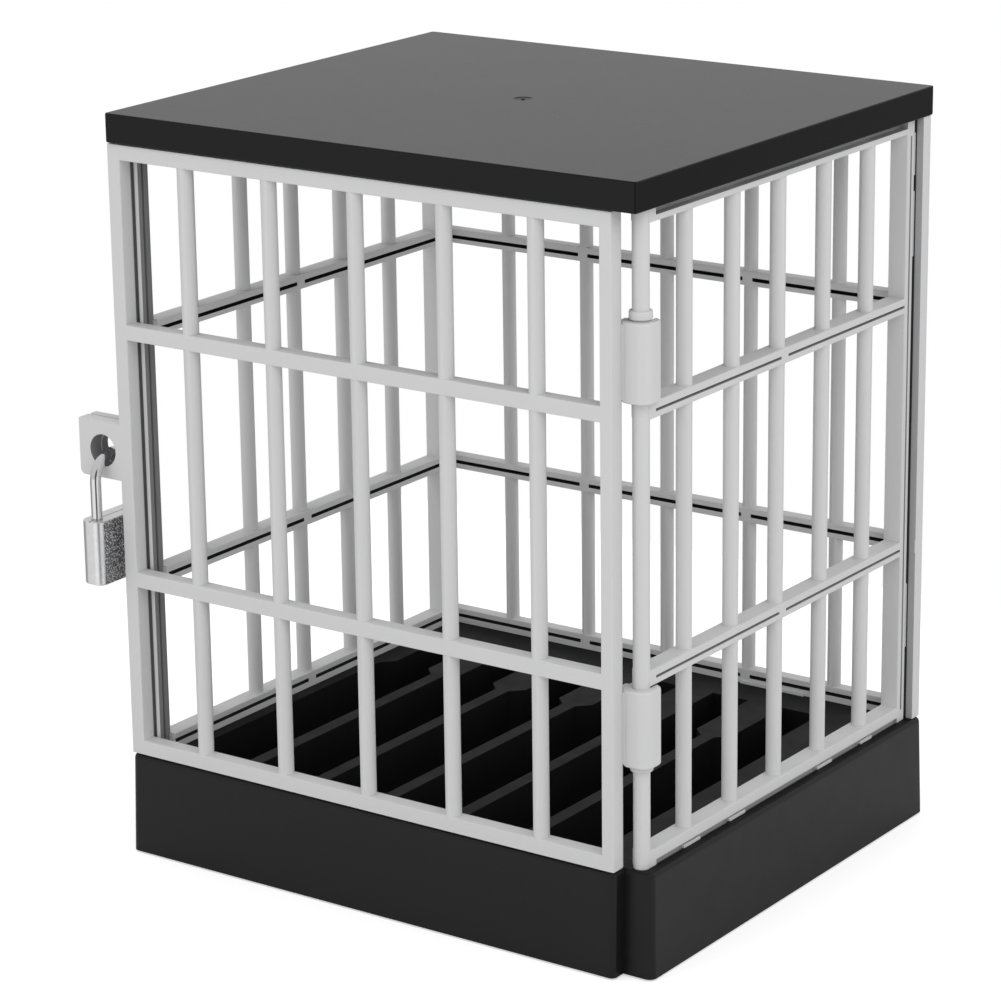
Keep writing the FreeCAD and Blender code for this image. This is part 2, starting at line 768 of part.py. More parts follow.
def wafer_heights():
    """Underside of each wafer."""
    return [wafer_first + wafer_pitch * index for index in range(4)]


def make_wafer(index, z):
    """Wafer with its key window and the shoulder that its spring pushes."""
    wafer = lock_block(wafer_half_x, (lock_y - wafer_half_y, lock_y + wafer_half_y), (z, z + wafer_thickness))
    step = 0.15 * index
    window = lock_block(0.6, (lock_y - 1.2 + step, lock_y + 0.9 + step), (z, z + wafer_thickness))
    shoulder = block(
        (lock_x + 0.72, lock_x + wafer_half_x),
        (lock_y - 0.2, lock_y + wafer_half_y),
        (z, z + wafer_thickness),
    )
    return cut(wafer, [window, shoulder])


def make_wafer_spring(z):
    """Tiny spring that lies beside one wafer, along Y."""
    spring = coil(0.24, 0.07, wafer_half_y + 0.15, 6)
    spring.rotate(V(0, 0, 0), V(1, 0, 0), -90)
    spring.translate(V(lock_x + 1.07, lock_y - 0.15, z + wafer_thickness / 2.0))
    return spring


def make_latch():
    """Latch block with a round nose and a slot for the drive pin."""
    half = latch_radius
    body = lock_block(1.6, latch_block_y, (latch_z - half, latch_z + half))
    nose = along_y(latch_radius, lock_x, latch_z, (latch_tip, latch_block_y[0] + 0.5))
    slot_y = lock_y - crank
    slot_half = drive_pin_radius + 0.1
    slot = block(
        (lock_x + 0.55, lock_x + 2.5),
        (slot_y - slot_half, slot_y + slot_half),
        (latch_z - half, latch_z + half),
    )
    return cut(fuse([body, nose]), [slot])


def make_shackle_spring():
    """Spring under the heel that pushes the case off the shackle."""
    spring = coil(1.05, 0.22, heel_end - heel_spring_seat, 5)
    spring.translate(V(lock_x, heel_y, heel_spring_seat))
    return spring


def make_latch_spring():
    """Spring behind the latch."""
    spring = coil(0.5, 0.1, latch_spring_end - latch_block_y[1], 7)
    spring.rotate(V(0, 0, 0), V(1, 0, 0), -90)
    spring.translate(V(lock_x, latch_block_y[1], latch_z))
    return spring


def make_latch_bore_plug():
    """Plug that closes the bore of the latch at the edge of the case."""
    outer = lock_y - case_width / 2.0
    return along_y(latch_radius + 0.1, lock_x, latch_z, (outer, outer + 1.3))


# ------------------------------------------------------------ all nodes
os.makedirs("parts", exist_ok=True)

save("base_shell", [make_base_shell()])
save("base_cover", [make_base_cover()])
save("cover_screws", [make_cover_screw(x, y) for x, y in boss_places()])
save("foot_pad", [make_foot_pad()])
save("rack_tray", [make_rack_tray()])
save("hinge_wall", [make_hinge_wall()])
save("left_wall", [make_left_wall()])
save("back_wall", [make_back_wall()])
save("lid", [make_lid()])
save("door_panel", [make_door()])
save("lock_shackle", [make_shackle()])
save("lock_case", [make_lock_case()])
save("case_pins", case_pins())
save("lock_plug", [make_lock_plug()])
save("lock_wafers", [make_wafer(index, z) for index, z in enumerate(wafer_heights())])
save("wafer_springs", [make_wafer_spring(z) for z in wafer_heights()])
save("lock_latch", [make_latch()])
save("latch_spring", [make_latch_spring()])
save("shackle_spring", [make_shackle_spring()])
save("latch_bore_plug", [make_latch_bore_plug()])
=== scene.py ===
"""Visual model of a barred cell for phones, with a hinged door and a small padlock.

Sizes are in millimetres in the frame of the solid model: the origin is on the table under the
middle of the base, +Z is up, the door faces -Y, its hinge is at +X and the padlock hangs at -X.
Meshes are shaped in millimetres and scaled to metres when they are finished.
"""

import json
import logging
import math
from collections.abc import Callable, Sequence
from dataclasses import dataclass, field
from enum import Enum

import bmesh
import bpy
from mathutils import Matrix, Vector
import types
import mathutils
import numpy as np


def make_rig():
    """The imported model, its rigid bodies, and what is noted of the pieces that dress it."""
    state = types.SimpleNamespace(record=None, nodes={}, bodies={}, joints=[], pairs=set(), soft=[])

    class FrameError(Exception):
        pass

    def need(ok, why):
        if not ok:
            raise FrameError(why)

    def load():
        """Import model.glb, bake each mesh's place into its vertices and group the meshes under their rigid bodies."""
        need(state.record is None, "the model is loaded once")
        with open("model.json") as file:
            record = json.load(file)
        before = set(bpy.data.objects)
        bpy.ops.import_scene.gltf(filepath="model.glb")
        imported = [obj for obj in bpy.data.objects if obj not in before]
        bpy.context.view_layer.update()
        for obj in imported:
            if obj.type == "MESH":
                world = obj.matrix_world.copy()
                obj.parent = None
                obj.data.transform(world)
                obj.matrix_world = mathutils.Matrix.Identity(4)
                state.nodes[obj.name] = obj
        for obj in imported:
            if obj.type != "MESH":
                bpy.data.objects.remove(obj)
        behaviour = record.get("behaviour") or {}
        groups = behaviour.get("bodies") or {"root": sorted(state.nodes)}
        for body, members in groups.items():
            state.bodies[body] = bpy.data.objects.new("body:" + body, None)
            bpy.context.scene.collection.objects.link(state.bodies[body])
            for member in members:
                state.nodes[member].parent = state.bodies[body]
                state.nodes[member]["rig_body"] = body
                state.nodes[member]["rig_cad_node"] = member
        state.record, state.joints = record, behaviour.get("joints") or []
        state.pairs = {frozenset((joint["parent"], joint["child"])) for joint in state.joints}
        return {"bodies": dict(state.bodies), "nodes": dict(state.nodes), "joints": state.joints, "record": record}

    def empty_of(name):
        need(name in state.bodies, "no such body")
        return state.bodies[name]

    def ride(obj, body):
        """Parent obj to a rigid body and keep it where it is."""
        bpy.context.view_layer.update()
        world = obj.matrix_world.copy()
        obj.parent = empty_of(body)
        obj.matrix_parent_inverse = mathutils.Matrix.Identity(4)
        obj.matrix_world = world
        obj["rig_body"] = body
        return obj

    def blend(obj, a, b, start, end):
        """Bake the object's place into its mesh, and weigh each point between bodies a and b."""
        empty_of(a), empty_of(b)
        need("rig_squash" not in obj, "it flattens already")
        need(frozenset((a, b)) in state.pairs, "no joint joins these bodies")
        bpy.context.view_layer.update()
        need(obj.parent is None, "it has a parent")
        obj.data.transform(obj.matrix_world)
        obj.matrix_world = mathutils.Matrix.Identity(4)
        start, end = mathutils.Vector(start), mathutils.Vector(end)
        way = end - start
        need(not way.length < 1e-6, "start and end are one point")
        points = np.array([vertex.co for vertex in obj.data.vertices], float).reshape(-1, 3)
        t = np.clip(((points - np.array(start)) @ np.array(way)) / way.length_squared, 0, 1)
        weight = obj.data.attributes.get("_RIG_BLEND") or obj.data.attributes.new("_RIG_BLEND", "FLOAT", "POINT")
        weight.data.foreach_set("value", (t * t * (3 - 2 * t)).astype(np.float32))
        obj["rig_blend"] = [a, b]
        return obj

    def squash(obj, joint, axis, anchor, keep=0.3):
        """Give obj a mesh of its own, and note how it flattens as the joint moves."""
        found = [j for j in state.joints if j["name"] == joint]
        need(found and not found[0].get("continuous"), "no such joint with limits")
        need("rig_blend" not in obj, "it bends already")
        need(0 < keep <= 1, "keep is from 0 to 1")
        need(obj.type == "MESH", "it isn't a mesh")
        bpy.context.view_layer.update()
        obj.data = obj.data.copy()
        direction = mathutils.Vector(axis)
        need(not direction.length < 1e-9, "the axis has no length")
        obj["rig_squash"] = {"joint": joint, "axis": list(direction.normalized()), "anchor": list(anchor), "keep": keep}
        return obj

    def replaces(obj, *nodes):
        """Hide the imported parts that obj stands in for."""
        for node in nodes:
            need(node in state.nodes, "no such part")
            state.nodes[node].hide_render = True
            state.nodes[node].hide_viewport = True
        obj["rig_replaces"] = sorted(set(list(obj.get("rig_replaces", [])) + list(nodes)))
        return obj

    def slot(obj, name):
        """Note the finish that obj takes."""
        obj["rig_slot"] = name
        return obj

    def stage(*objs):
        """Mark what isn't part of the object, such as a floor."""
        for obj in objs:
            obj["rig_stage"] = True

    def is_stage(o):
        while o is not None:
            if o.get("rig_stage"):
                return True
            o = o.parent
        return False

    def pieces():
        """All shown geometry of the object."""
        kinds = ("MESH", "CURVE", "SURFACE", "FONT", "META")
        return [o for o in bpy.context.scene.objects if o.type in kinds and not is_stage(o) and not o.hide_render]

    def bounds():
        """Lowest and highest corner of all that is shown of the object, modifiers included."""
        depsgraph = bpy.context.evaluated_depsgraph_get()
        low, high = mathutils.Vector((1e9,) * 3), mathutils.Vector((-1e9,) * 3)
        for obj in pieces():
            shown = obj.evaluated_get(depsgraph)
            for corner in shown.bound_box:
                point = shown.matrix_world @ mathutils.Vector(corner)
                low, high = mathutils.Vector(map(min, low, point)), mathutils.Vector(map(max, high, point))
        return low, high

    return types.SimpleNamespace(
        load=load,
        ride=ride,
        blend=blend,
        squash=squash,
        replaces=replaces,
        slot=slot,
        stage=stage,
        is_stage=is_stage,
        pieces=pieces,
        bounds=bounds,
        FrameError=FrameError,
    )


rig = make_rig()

MM = 0.001
SMOOTH_BELOW = math.radians(38.0)
BOX_FILE = "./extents.json"

Span = tuple[float, float]
Corner = tuple[float, float, float]
Box = tuple[Span, Span, Span]
Test = Callable[[Vector], bool]

log = logging.getLogger("phone_cell")


class Body(Enum):
    """Bodies of the solid model that pieces ride on."""

    CAGE = "cage"
    DOOR = "door"
    SHACKLE = "shackle"
    CASE = "case"


class Cut(Enum):
    """What happens to a blank when a group of tools meets it."""

    JOIN = "UNION"
    REMOVE = "DIFFERENCE"


# ---------------------------------------------------------------- colours and nodes
class PaintedShade(Enum):
    """Place of a painted shade in the list of materials of a bar piece: the darker copies of the bar plastic that stand
    in for shade in grooves, strips and nooks.
    """

    DEEP = 1
    SHALLOW = 2
    NOOK = 3


def linear(hex_colour: str) -> tuple[float, float, float, float]:
    """Turn an sRGB colour into the linear one that shaders use.

    Args:
        hex_colour: Six hex digits, with or without a leading #.

    Returns:
        Red, green, blue and an alpha of 1.
    """
    digits = hex_colour.lstrip("#")
    levels = [int(digits[i : i + 2], 16) / 255.0 for i in (0, 2, 4)]
    red, green, blue = (v / 12.92 if v <= 0.04045 else ((v + 0.055) / 1.055) ** 2.4 for v in levels)
    return red, green, blue, 1.0


def add_node(
    tree: bpy.types.NodeTree,
    kind: str,
    settings: dict[str, object] | None = None,
    inputs: dict[str, object] | None = None,
) -> bpy.types.Node:
    """Add one node with its settings, values and links.

    Args:
        tree: Node tree that the node is added to.
        kind: Type of the node.
        settings: Attributes of the node.
        inputs: Socket names or numbers, each with a value or with an output socket to link.

    Returns:
        The new node.
    """
    node = tree.nodes.new(kind)
    for name, value in (settings or {}).items():
        setattr(node, name, value)
    for name, value in (inputs or {}).items():
        socket = node.inputs[name]
        if isinstance(value, bpy.types.NodeSocket):
            tree.links.new(value, socket)
        else:
            socket.default_value = value
    return node


# ---------------------------------------------------------------- finishes
@dataclass(frozen=True)
class MouldedPlastic:
    """Injection-moulded plastic with a fine grain from a spark-eroded mould.

    The grain breaks the gloss into a satin sheen, broad flow marks shift the colour a little,
    and handling leaves slightly glossier patches.
    """

    name: str
    colour: str
    flow_colour: str
    roughness: float
    roughness_spread: float
    grain_size: float = 0.35
    grain_depth: float = 0.012
    flow_size: float = 28.0
    specular: float = 0.5
    ior: float = 1.5

    def material(self) -> bpy.types.Material:
        """Build the node material of this plastic."""
        material = bpy.data.materials.new(self.name)
        material.use_nodes = True
        tree = material.node_tree
        shader = tree.nodes["Principled BSDF"]
        place = add_node(tree, "ShaderNodeTexCoord").outputs["Object"]
        stretched = add_node(
            tree, "ShaderNodeMapping", inputs={"Vector": place, "Scale": (1.0, 1.0, 0.35)}
        ).outputs["Vector"]
        flow = add_node(
            tree,
            "ShaderNodeTexNoise",
            inputs={
                "Vector": stretched,
                "Scale": 1.0 / (self.flow_size * MM),
                "Detail": 4.0,
                "Roughness": 0.55,
            },
        ).outputs["Fac"]
        colours = add_node(
            tree,
            "ShaderNodeMix",
            {"data_type": "RGBA"},
            {"Factor": flow, 6: linear(self.colour), 7: linear(self.flow_colour)},
        )
        grain = add_node(
            tree,
            "ShaderNodeTexNoise",
            inputs={"Vector": place, "Scale": 1.0 / (self.grain_size * MM), "Detail": 3.0},
        ).outputs["Fac"]
        patches = add_node(
            tree,
            "ShaderNodeTexNoise",
            inputs={"Vector": place, "Scale": 1.0 / (9.0 * MM), "Detail": 3.0, "Distortion": 0.6},
        ).outputs["Fac"]
        gloss = add_node(
            tree,
            "ShaderNodeMapRange",
            inputs={
                "Value": patches,
                "From Min": 0.3,
                "From Max": 0.7,
                "To Min": self.roughness - self.roughness_spread,
                "To Max": self.roughness + self.roughness_spread,
            },
        ).outputs["Result"]
        relief = add_node(
            tree,
            "ShaderNodeBump",
            inputs={"Height": grain, "Strength": 1.0, "Distance": self.grain_depth * MM},
        ).outputs["Normal"]
        tree.links.new(colours.outputs[2], shader.inputs["Base Color"])
        tree.links.new(gloss, shader.inputs["Roughness"])
        tree.links.new(relief, shader.inputs["Normal"])
        shader.inputs["IOR"].default_value = self.ior
        shader.inputs["Specular IOR Level"].default_value = self.specular
        return material


@dataclass(frozen=True)
class PlatedMetal:
    """Metal with a bright plated or drawn skin.

    Fine lines along the piece and small stains vary its gloss, so that highlights break up.
    """

    name: str
    colour: str
    stain_colour: str
    roughness: float
    roughness_spread: float
    line_size: float = 0.12
    line_stretch: tuple[float, float, float] = (1.0, 1.0, 0.06)
    line_depth: float = 0.004

    def material(self) -> bpy.types.Material:
        """Build the node material of this metal."""
        material = bpy.data.materials.new(self.name)
        material.use_nodes = True
        tree = material.node_tree
        shader = tree.nodes["Principled BSDF"]
        place = add_node(tree, "ShaderNodeTexCoord").outputs["Object"]
        along = add_node(
            tree, "ShaderNodeMapping", inputs={"Vector": place, "Scale": self.line_stretch}
        ).outputs["Vector"]
        lines = add_node(
            tree,
            "ShaderNodeTexNoise",
            inputs={"Vector": along, "Scale": 1.0 / (self.line_size * MM), "Detail": 3.0},
        ).outputs["Fac"]
        stains = add_node(
            tree,
            "ShaderNodeTexNoise",
            inputs={"Vector": place, "Scale": 1.0 / (2.2 * MM), "Detail": 5.0, "Roughness": 0.6},
        ).outputs["Fac"]
        colours = add_node(
            tree,
            "ShaderNodeMix",
            {"data_type": "RGBA"},
            {"Factor": stains, 6: linear(self.colour), 7: linear(self.stain_colour)},
        )
        gloss = add_node(
            tree,
            "ShaderNodeMapRange",
            inputs={
                "Value": stains,
                "From Min": 0.3,
                "From Max": 0.7,
                "To Min": self.roughness - self.roughness_spread,
                "To Max": self.roughness + self.roughness_spread,
            },
        ).outputs["Result"]
        relief = add_node(
            tree,
            "ShaderNodeBump",
            inputs={"Height": lines, "Strength": 1.0, "Distance": self.line_depth * MM},
        ).outputs["Normal"]
        tree.links.new(colours.outputs[2], shader.inputs["Base Color"])
        tree.links.new(gloss, shader.inputs["Roughness"])
        tree.links.new(relief, shader.inputs["Normal"])
        shader.inputs["Metallic"].default_value = 1.0
        return material


@dataclass(frozen=True)
class HammeredMetal:
    """Cast and plated metal with a pebbled skin of small raised grains.

    The grains catch the light as bright specks, and the ground between them stays dull.
    """

    name: str
    grain_colour: str
    ground_colour: str
    grain_size: float = 0.5
    grain_height: float = 0.14
    grain_roughness: float = 0.18
    ground_roughness: float = 0.5

    def material(self) -> bpy.types.Material:
        """Build the node material of this metal."""
        material = bpy.data.materials.new(self.name)
        material.use_nodes = True
        tree = material.node_tree
        shader = tree.nodes["Principled BSDF"]
        place = add_node(tree, "ShaderNodeTexCoord").outputs["Object"]
        warp = add_node(
            tree,
            "ShaderNodeTexNoise",
            inputs={"Vector": place, "Scale": 1.0 / (0.9 * MM), "Detail": 2.0},
        ).outputs["Color"]
        bent = add_node(
            tree,
            "ShaderNodeVectorMath",
            {"operation": "MULTIPLY_ADD"},
            {0: warp, 1: (0.5 * MM, 0.5 * MM, 0.5 * MM), 2: place},
        ).outputs["Vector"]
        away = add_node(
            tree,
            "ShaderNodeTexVoronoi",
            {"feature": "SMOOTH_F1"},
            {"Vector": bent, "Scale": 1.0 / (self.grain_size * MM), "Smoothness": 0.3},
        ).outputs["Distance"]
        grains = add_node(
            tree,
            "ShaderNodeMapRange",
            inputs={"Value": away, "From Min": 0.55, "From Max": 0.2},
        ).outputs["Result"]
        colours = add_node(
            tree,
            "ShaderNodeMix",
            {"data_type": "RGBA"},
            {"Factor": grains, 6: linear(self.ground_colour), 7: linear(self.grain_colour)},
        )
        gloss = add_node(
            tree,
            "ShaderNodeMapRange",
            inputs={
                "Value": grains,
                "To Min": self.ground_roughness,
                "To Max": self.grain_roughness,
            },
        ).outputs["Result"]
        relief = add_node(
            tree,
            "ShaderNodeBump",
            inputs={"Height": grains, "Strength": 1.0, "Distance": self.grain_height * MM},
        ).outputs["Normal"]
        tree.links.new(colours.outputs[2], shader.inputs["Base Color"])
        tree.links.new(gloss, shader.inputs["Roughness"])
        tree.links.new(relief, shader.inputs["Normal"])
        shader.inputs["Metallic"].default_value = 1.0
        return material


# Light grey polystyrene of the bars: neutral, satin, hardly any colour drift.
BAR_PLASTIC = MouldedPlastic("moulded_grey_polystyrene", "#D3D3D3", "#CFCFD0", 0.46, 0.04)
# The same plastic made dark in the deep inner grooves and in the gaps behind the side walls: painted shade, dull and
# dark so that the grooves read as lines.
BAR_GROOVE_SHADE = MouldedPlastic(
    "grey_polystyrene_painted_groove_shade", "#343435", "#3B3B3C", 0.8, 0.05, specular=0.2
)
# The same plastic made darker in shallow grooves, sunk strips and on the back wall's stile fronts beyond the side
# walls: painted shade, a little duller than the open faces.
BAR_STRIP_SHADE = MouldedPlastic(
    "grey_polystyrene_painted_strip_shade", "#A8A8A9", "#A0A0A2", 0.65, 0.05, specular=0.3
)
# The same plastic, dull and darker, in the hasp's eyes, and on the left wall's front stile in its
# channel, its front groove and on its inner side: painted shade.
BAR_NOOK_SHADE = MouldedPlastic(
    "grey_polystyrene_painted_nook_shade", "#868687", "#7E7E80", 0.65, 0.05, specular=0.3
)
# Black ABS of the base: the grain gives a faint sheen on the upright sides.
BASE_PLASTIC = MouldedPlastic(
    "moulded_black_abs_base", "#161617", "#19191A", 0.36, 0.03, grain_depth=0.003, specular=0.25
)
# Black ABS of the rack: duller and darker than the outside. On the base's upper rim it is painted shade in the gap
# under the walls' feet.
RACK_PLASTIC = MouldedPlastic(
    "moulded_black_abs_rack", "#111112", "#131314", 0.6, 0.05, grain_depth=0.006, specular=0.2
)
# Black ABS of the lid: satin, so that its flat top mirrors pale surroundings as soft grey.
LID_PLASTIC = MouldedPlastic(
    "moulded_black_abs_lid", "#0C0C0D", "#0E0E0F", 0.27, 0.004, grain_depth=0.001, specular=0.22
)
# Black ABS of the hidden bottom plate, from a plain mould.
COVER_PLASTIC = MouldedPlastic("moulded_black_abs_cover", "#161617", "#191919", 0.5, 0.06)
# Rubber of the foot pad: dull, with a coarser pressed grain.
PAD_RUBBER = MouldedPlastic(
    "pressed_black_rubber", "#1A1A1A", "#202020", 0.8, 0.06, grain_size=0.8, grain_depth=0.05
)
# Nickel-plated steel wire: nearly a mirror, with drawing lines along the legs.
SHACKLE_PLATING = PlatedMetal(
    "nickel_plated_steel_wire", "#E6E6E7", "#DADADB", 0.07, 0.02, line_depth=0.0015
)
# Satin-plated narrow sides of the cast case.
CASE_PLATING = PlatedMetal(
    "satin_plated_zinc_edge", "#F2F2F3", "#DCDCDD", 0.3, 0.05, line_depth=0.004
)
# Hammered wide sides of the cast case.
CASE_HAMMERED = HammeredMetal("hammered_plated_zinc_side", "#F8F8F9", "#88888A")
# Zinc-plated screws: pale and slightly cloudy.
SCREW_ZINC = PlatedMetal("zinc_plated_steel_screw", "#BFC3C7", "#A7ABB0", 0.3, 0.06)
# Machined brass of plug, wafers and latch, with turning marks.
PLUG_BRASS = PlatedMetal("machined_brass", "#D8B25A", "#B98F3F", 0.27, 0.06)
# Drawn steel of pins and springs.
SPRING_STEEL = PlatedMetal("drawn_spring_steel", "#A9ABAD", "#8C8E91", 0.25, 0.06)


# ---------------------------------------------------------------- shaping blanks
def grouped(bm: bmesh.types.BMesh, test: Test) -> list[bmesh.types.BMEdge]:
    """Edges whose two ends pass a test."""
    return [edge for edge in bm.edges if all(test(vert.co) for vert in edge.verts)]


def soften(
    bm: bmesh.types.BMesh, edges: Sequence[bmesh.types.BMEdge], width: float, segments: int = 3
) -> None:
    """Round edges off.

    Args:
        bm: Mesh that is changed.
        edges: Edges to round.
        width: How far the rounding reaches from the edge.
        segments: Faces across the rounding.
    """
    bmesh.ops.bevel(
        bm,
        geom=list(edges),
        offset=width,
        offset_type="OFFSET",
        segments=segments,
        profile=0.5,
        affect="EDGES",
        clamp_overlap=True,
        material=-1,
    )


def block(xs: Span, ys: Span, zs: Span, edge: float = 0.0, segments: int = 2) -> bmesh.types.BMesh:
    """Box between two values of x, of y and of z.

    Args:
        xs: Lowest and highest x.
        ys: Lowest and highest y.
        zs: Lowest and highest z.
        edge: Rounding of all its edges.
        segments: Faces across the rounding.

    Returns:
        The closed box.
    """
    bm = bmesh.new()
    bmesh.ops.create_cube(bm, size=1.0)
    size = (xs[1] - xs[0], ys[1] - ys[0], zs[1] - zs[0])
    middle = ((xs[0] + xs[1]) / 2.0, (ys[0] + ys[1]) / 2.0, (zs[0] + zs[1]) / 2.0)
    bmesh.ops.scale(bm, vec=size, verts=bm.verts)
    bmesh.ops.translate(bm, vec=middle, verts=bm.verts)
    if edge:
        soften(bm, bm.edges[:], edge, segments)
    return bm


def rod(
    radius: float,
    start: Corner,
    end: Corner,
    edge: float = 0.0,
    sides: int = 40,
    end_radius: float | None = None,
) -> bmesh.types.BMesh:
    """Round rod, or a cone where the end radius differs.

    Args:
        radius: Radius at the start.
        start: Middle of the first end.
        end: Middle of the second end.
        edge: Rounding of both rims.
        sides: Faces round the rod.
        end_radius: Radius at the end, the same as at the start if left out.

    Returns:
        The closed rod.
    """
    low, high = Vector(start), Vector(end)
    along = high - low
    turned = along.to_track_quat("Z", "Y").to_matrix().to_4x4()
    bm = bmesh.new()
    bmesh.ops.create_cone(
        bm,
        cap_ends=True,
        cap_tris=False,
        segments=sides,
        radius1=radius,
        radius2=radius if end_radius is None else end_radius,
        depth=along.length,
        matrix=Matrix.Translation((low + high) / 2.0) @ turned,
    )
    if edge:
        rims = [e for e in bm.edges if any(len(f.verts) > 4 for f in e.link_faces)]
        soften(bm, rims, edge)
    return bm


def prism(corners: Sequence[Corner], zs: Span, edge: float = 0.0) -> bmesh.types.BMesh:
    """Upright prism with a rounded outline.

    Args:
        corners: Outline as (x, y, radius), counter-clockwise.
        zs: Lowest and highest z.
        edge: Rounding of the upper and lower rims.

    Returns:
        The closed prism.
    """
    bm = bmesh.new()
    ring = [bm.verts.new((x, y, zs[1])) for x, y, _ in corners]
    top = bm.faces.new(ring)
    made = bmesh.ops.extrude_face_region(bm, geom=[top], use_keep_orig=True)
    lower = [item for item in made["geom"] if isinstance(item, bmesh.types.BMVert)]
    bmesh.ops.translate(bm, vec=(0.0, 0.0, zs[0] - zs[1]), verts=lower)
    bmesh.ops.recalc_face_normals(bm, faces=bm.faces)
    for x, y, radius in corners:
        if radius:
            upright = [
                e
                for e in bm.edges
                if all(math.hypot(v.co.x - x, v.co.y - y) < 1e-4 for v in e.verts)
            ]
            soften(bm, upright, radius, 6)
    if edge:
        rims = [
            e
            for e in bm.edges
            if all(abs(v.co.z - zs[0]) < 1e-4 for v in e.verts)
            or all(abs(v.co.z - zs[1]) < 1e-4 for v in e.verts)
        ]
        soften(bm, rims, edge)
    return bm


def lying_prism(corners: Sequence[Corner], xs: Span) -> bmesh.types.BMesh:
    """Prism that runs along x.

    Args:
        corners: Outline as (y, z, radius), counter-clockwise seen from +x.
        xs: Lowest and highest x.

    Returns:
        The closed prism.
    """
    bm = prism(corners, xs)
    turned = Matrix(
        ((0.0, 0.0, 1.0, 0.0), (1.0, 0.0, 0.0, 0.0), (0.0, 1.0, 0.0, 0.0), (0.0, 0.0, 0.0, 1.0))
    )
    bmesh.ops.transform(bm, matrix=turned, verts=bm.verts)
    return bm


def rectangle(xs: Span, ys: Span, radius: float = 0.0) -> list[Corner]:
    """Corners of a rectangle, all with one radius."""
    return [
        (xs[0], ys[0], radius),
        (xs[1], ys[0], radius),
        (xs[1], ys[1], radius),
        (xs[0], ys[1], radius),
    ]


def coil(mean_radius: float, wire: float, length: float, turns: int) -> bmesh.types.BMesh:
    """Open coil spring along +z that stands on the plane z = 0.

    Args:
        mean_radius: Radius from the axis to the middle of the wire.
        wire: Radius of the wire.
        length: Whole length of the spring.
        turns: Number of its turns.

    Returns:
        The closed mesh.
    """
    steps = turns * 24
    bm = bmesh.new()
    start = Matrix.Translation((mean_radius, 0.0, wire)) @ Matrix.Rotation(math.pi / 2.0, 4, "X")
    made = bmesh.ops.create_circle(bm, cap_ends=False, segments=10, radius=wire, matrix=start)
    ring = list({edge for vert in made["verts"] for edge in vert.link_edges})
    bmesh.ops.spin(
        bm,
        geom=ring,
        cent=(0.0, 0.0, 0.0),
        axis=(0.0, 0.0, 1.0),
        dvec=(0.0, 0.0, (length - 2.0 * wire) / steps),
        angle=turns * 2.0 * math.pi,
        steps=steps,
        use_duplicate=False,
    )
    bmesh.ops.holes_fill(bm, edges=bm.edges, sides=0)
    bmesh.ops.recalc_face_normals(bm, faces=bm.faces)
    return bm


def mirrored(bm: bmesh.types.BMesh) -> bmesh.types.BMesh:
    """The same shape on the other side of x = 0."""
    bmesh.ops.scale(bm, vec=(-1.0, 1.0, 1.0), verts=bm.verts)
    bmesh.ops.reverse_faces(bm, faces=bm.faces)
    return bm


def blank_object(bm: bmesh.types.BMesh, name: str) -> bpy.types.Object:
    """Turn a shape into an object that the booleans can use."""
    mesh = bpy.data.meshes.new(name)
    bm.to_mesh(mesh)
    bm.free()
    made = bpy.data.objects.new(name, mesh)
    bpy.context.scene.collection.objects.link(made)
    return made


def worked(
    body: bmesh.types.BMesh, kind: Cut, tools: Sequence[bmesh.types.BMesh]
) -> bmesh.types.BMesh:
    """Join tools to a blank, or take them out of it.

    Args:
        body: The blank.
        kind: Whether the tools are joined or removed.
        tools: The other shapes.

    Returns:
        One closed mesh.
    """
    if not tools:
        return body
    blank = blank_object(body, "blank")
    group = bpy.data.collections.new("tools")
    made = [blank_object(tool, "tool") for tool in tools]
    for tool in made:
        group.objects.link(tool)
    step = blank.modifiers.new("step", "BOOLEAN")
    step.operation = kind.value
    step.operand_type = "COLLECTION"
    step.collection = group
    step.solver = "EXACT"
    step.use_self = False
    bpy.context.view_layer.update()
    graph = bpy.context.evaluated_depsgraph_get()
    result = bmesh.new()
    result.from_object(blank, graph)
    for piece in [blank, *made]:
        bpy.data.meshes.remove(piece.data)
    bpy.data.collections.remove(group)
    bmesh.ops.remove_doubles(result, verts=result.verts, dist=2e-4)
    bmesh.ops.dissolve_degenerate(result, edges=result.edges, dist=1e-4)
    return result


def paint_shade_on_faces(
    bm: bmesh.types.BMesh, boxes: Sequence[Box], axis: int, surface: float, finish: PaintedShade
) -> None:
    """Paint shade on the faces inside boxes, such as the inner faces of a groove, by giving them a darker copy of the
    plastic.

    Args:
        bm: Mesh that is changed.
        boxes: Where the faces lie.
        axis: Direction across the open surface, 0 for x and 1 for y.
        surface: Place of that surface, whose own faces are left alone.
        finish: The painted shade that the faces get.
    """
    near = 0.02
    for face in bm.faces:
        middle = face.calc_center_median()
        if abs(middle[axis] - surface) < near:
            continue
        for box in boxes:
            if all(lo - near < middle[i] < hi + near for i, (lo, hi) in enumerate(box)):
                face.material_index = finish.value


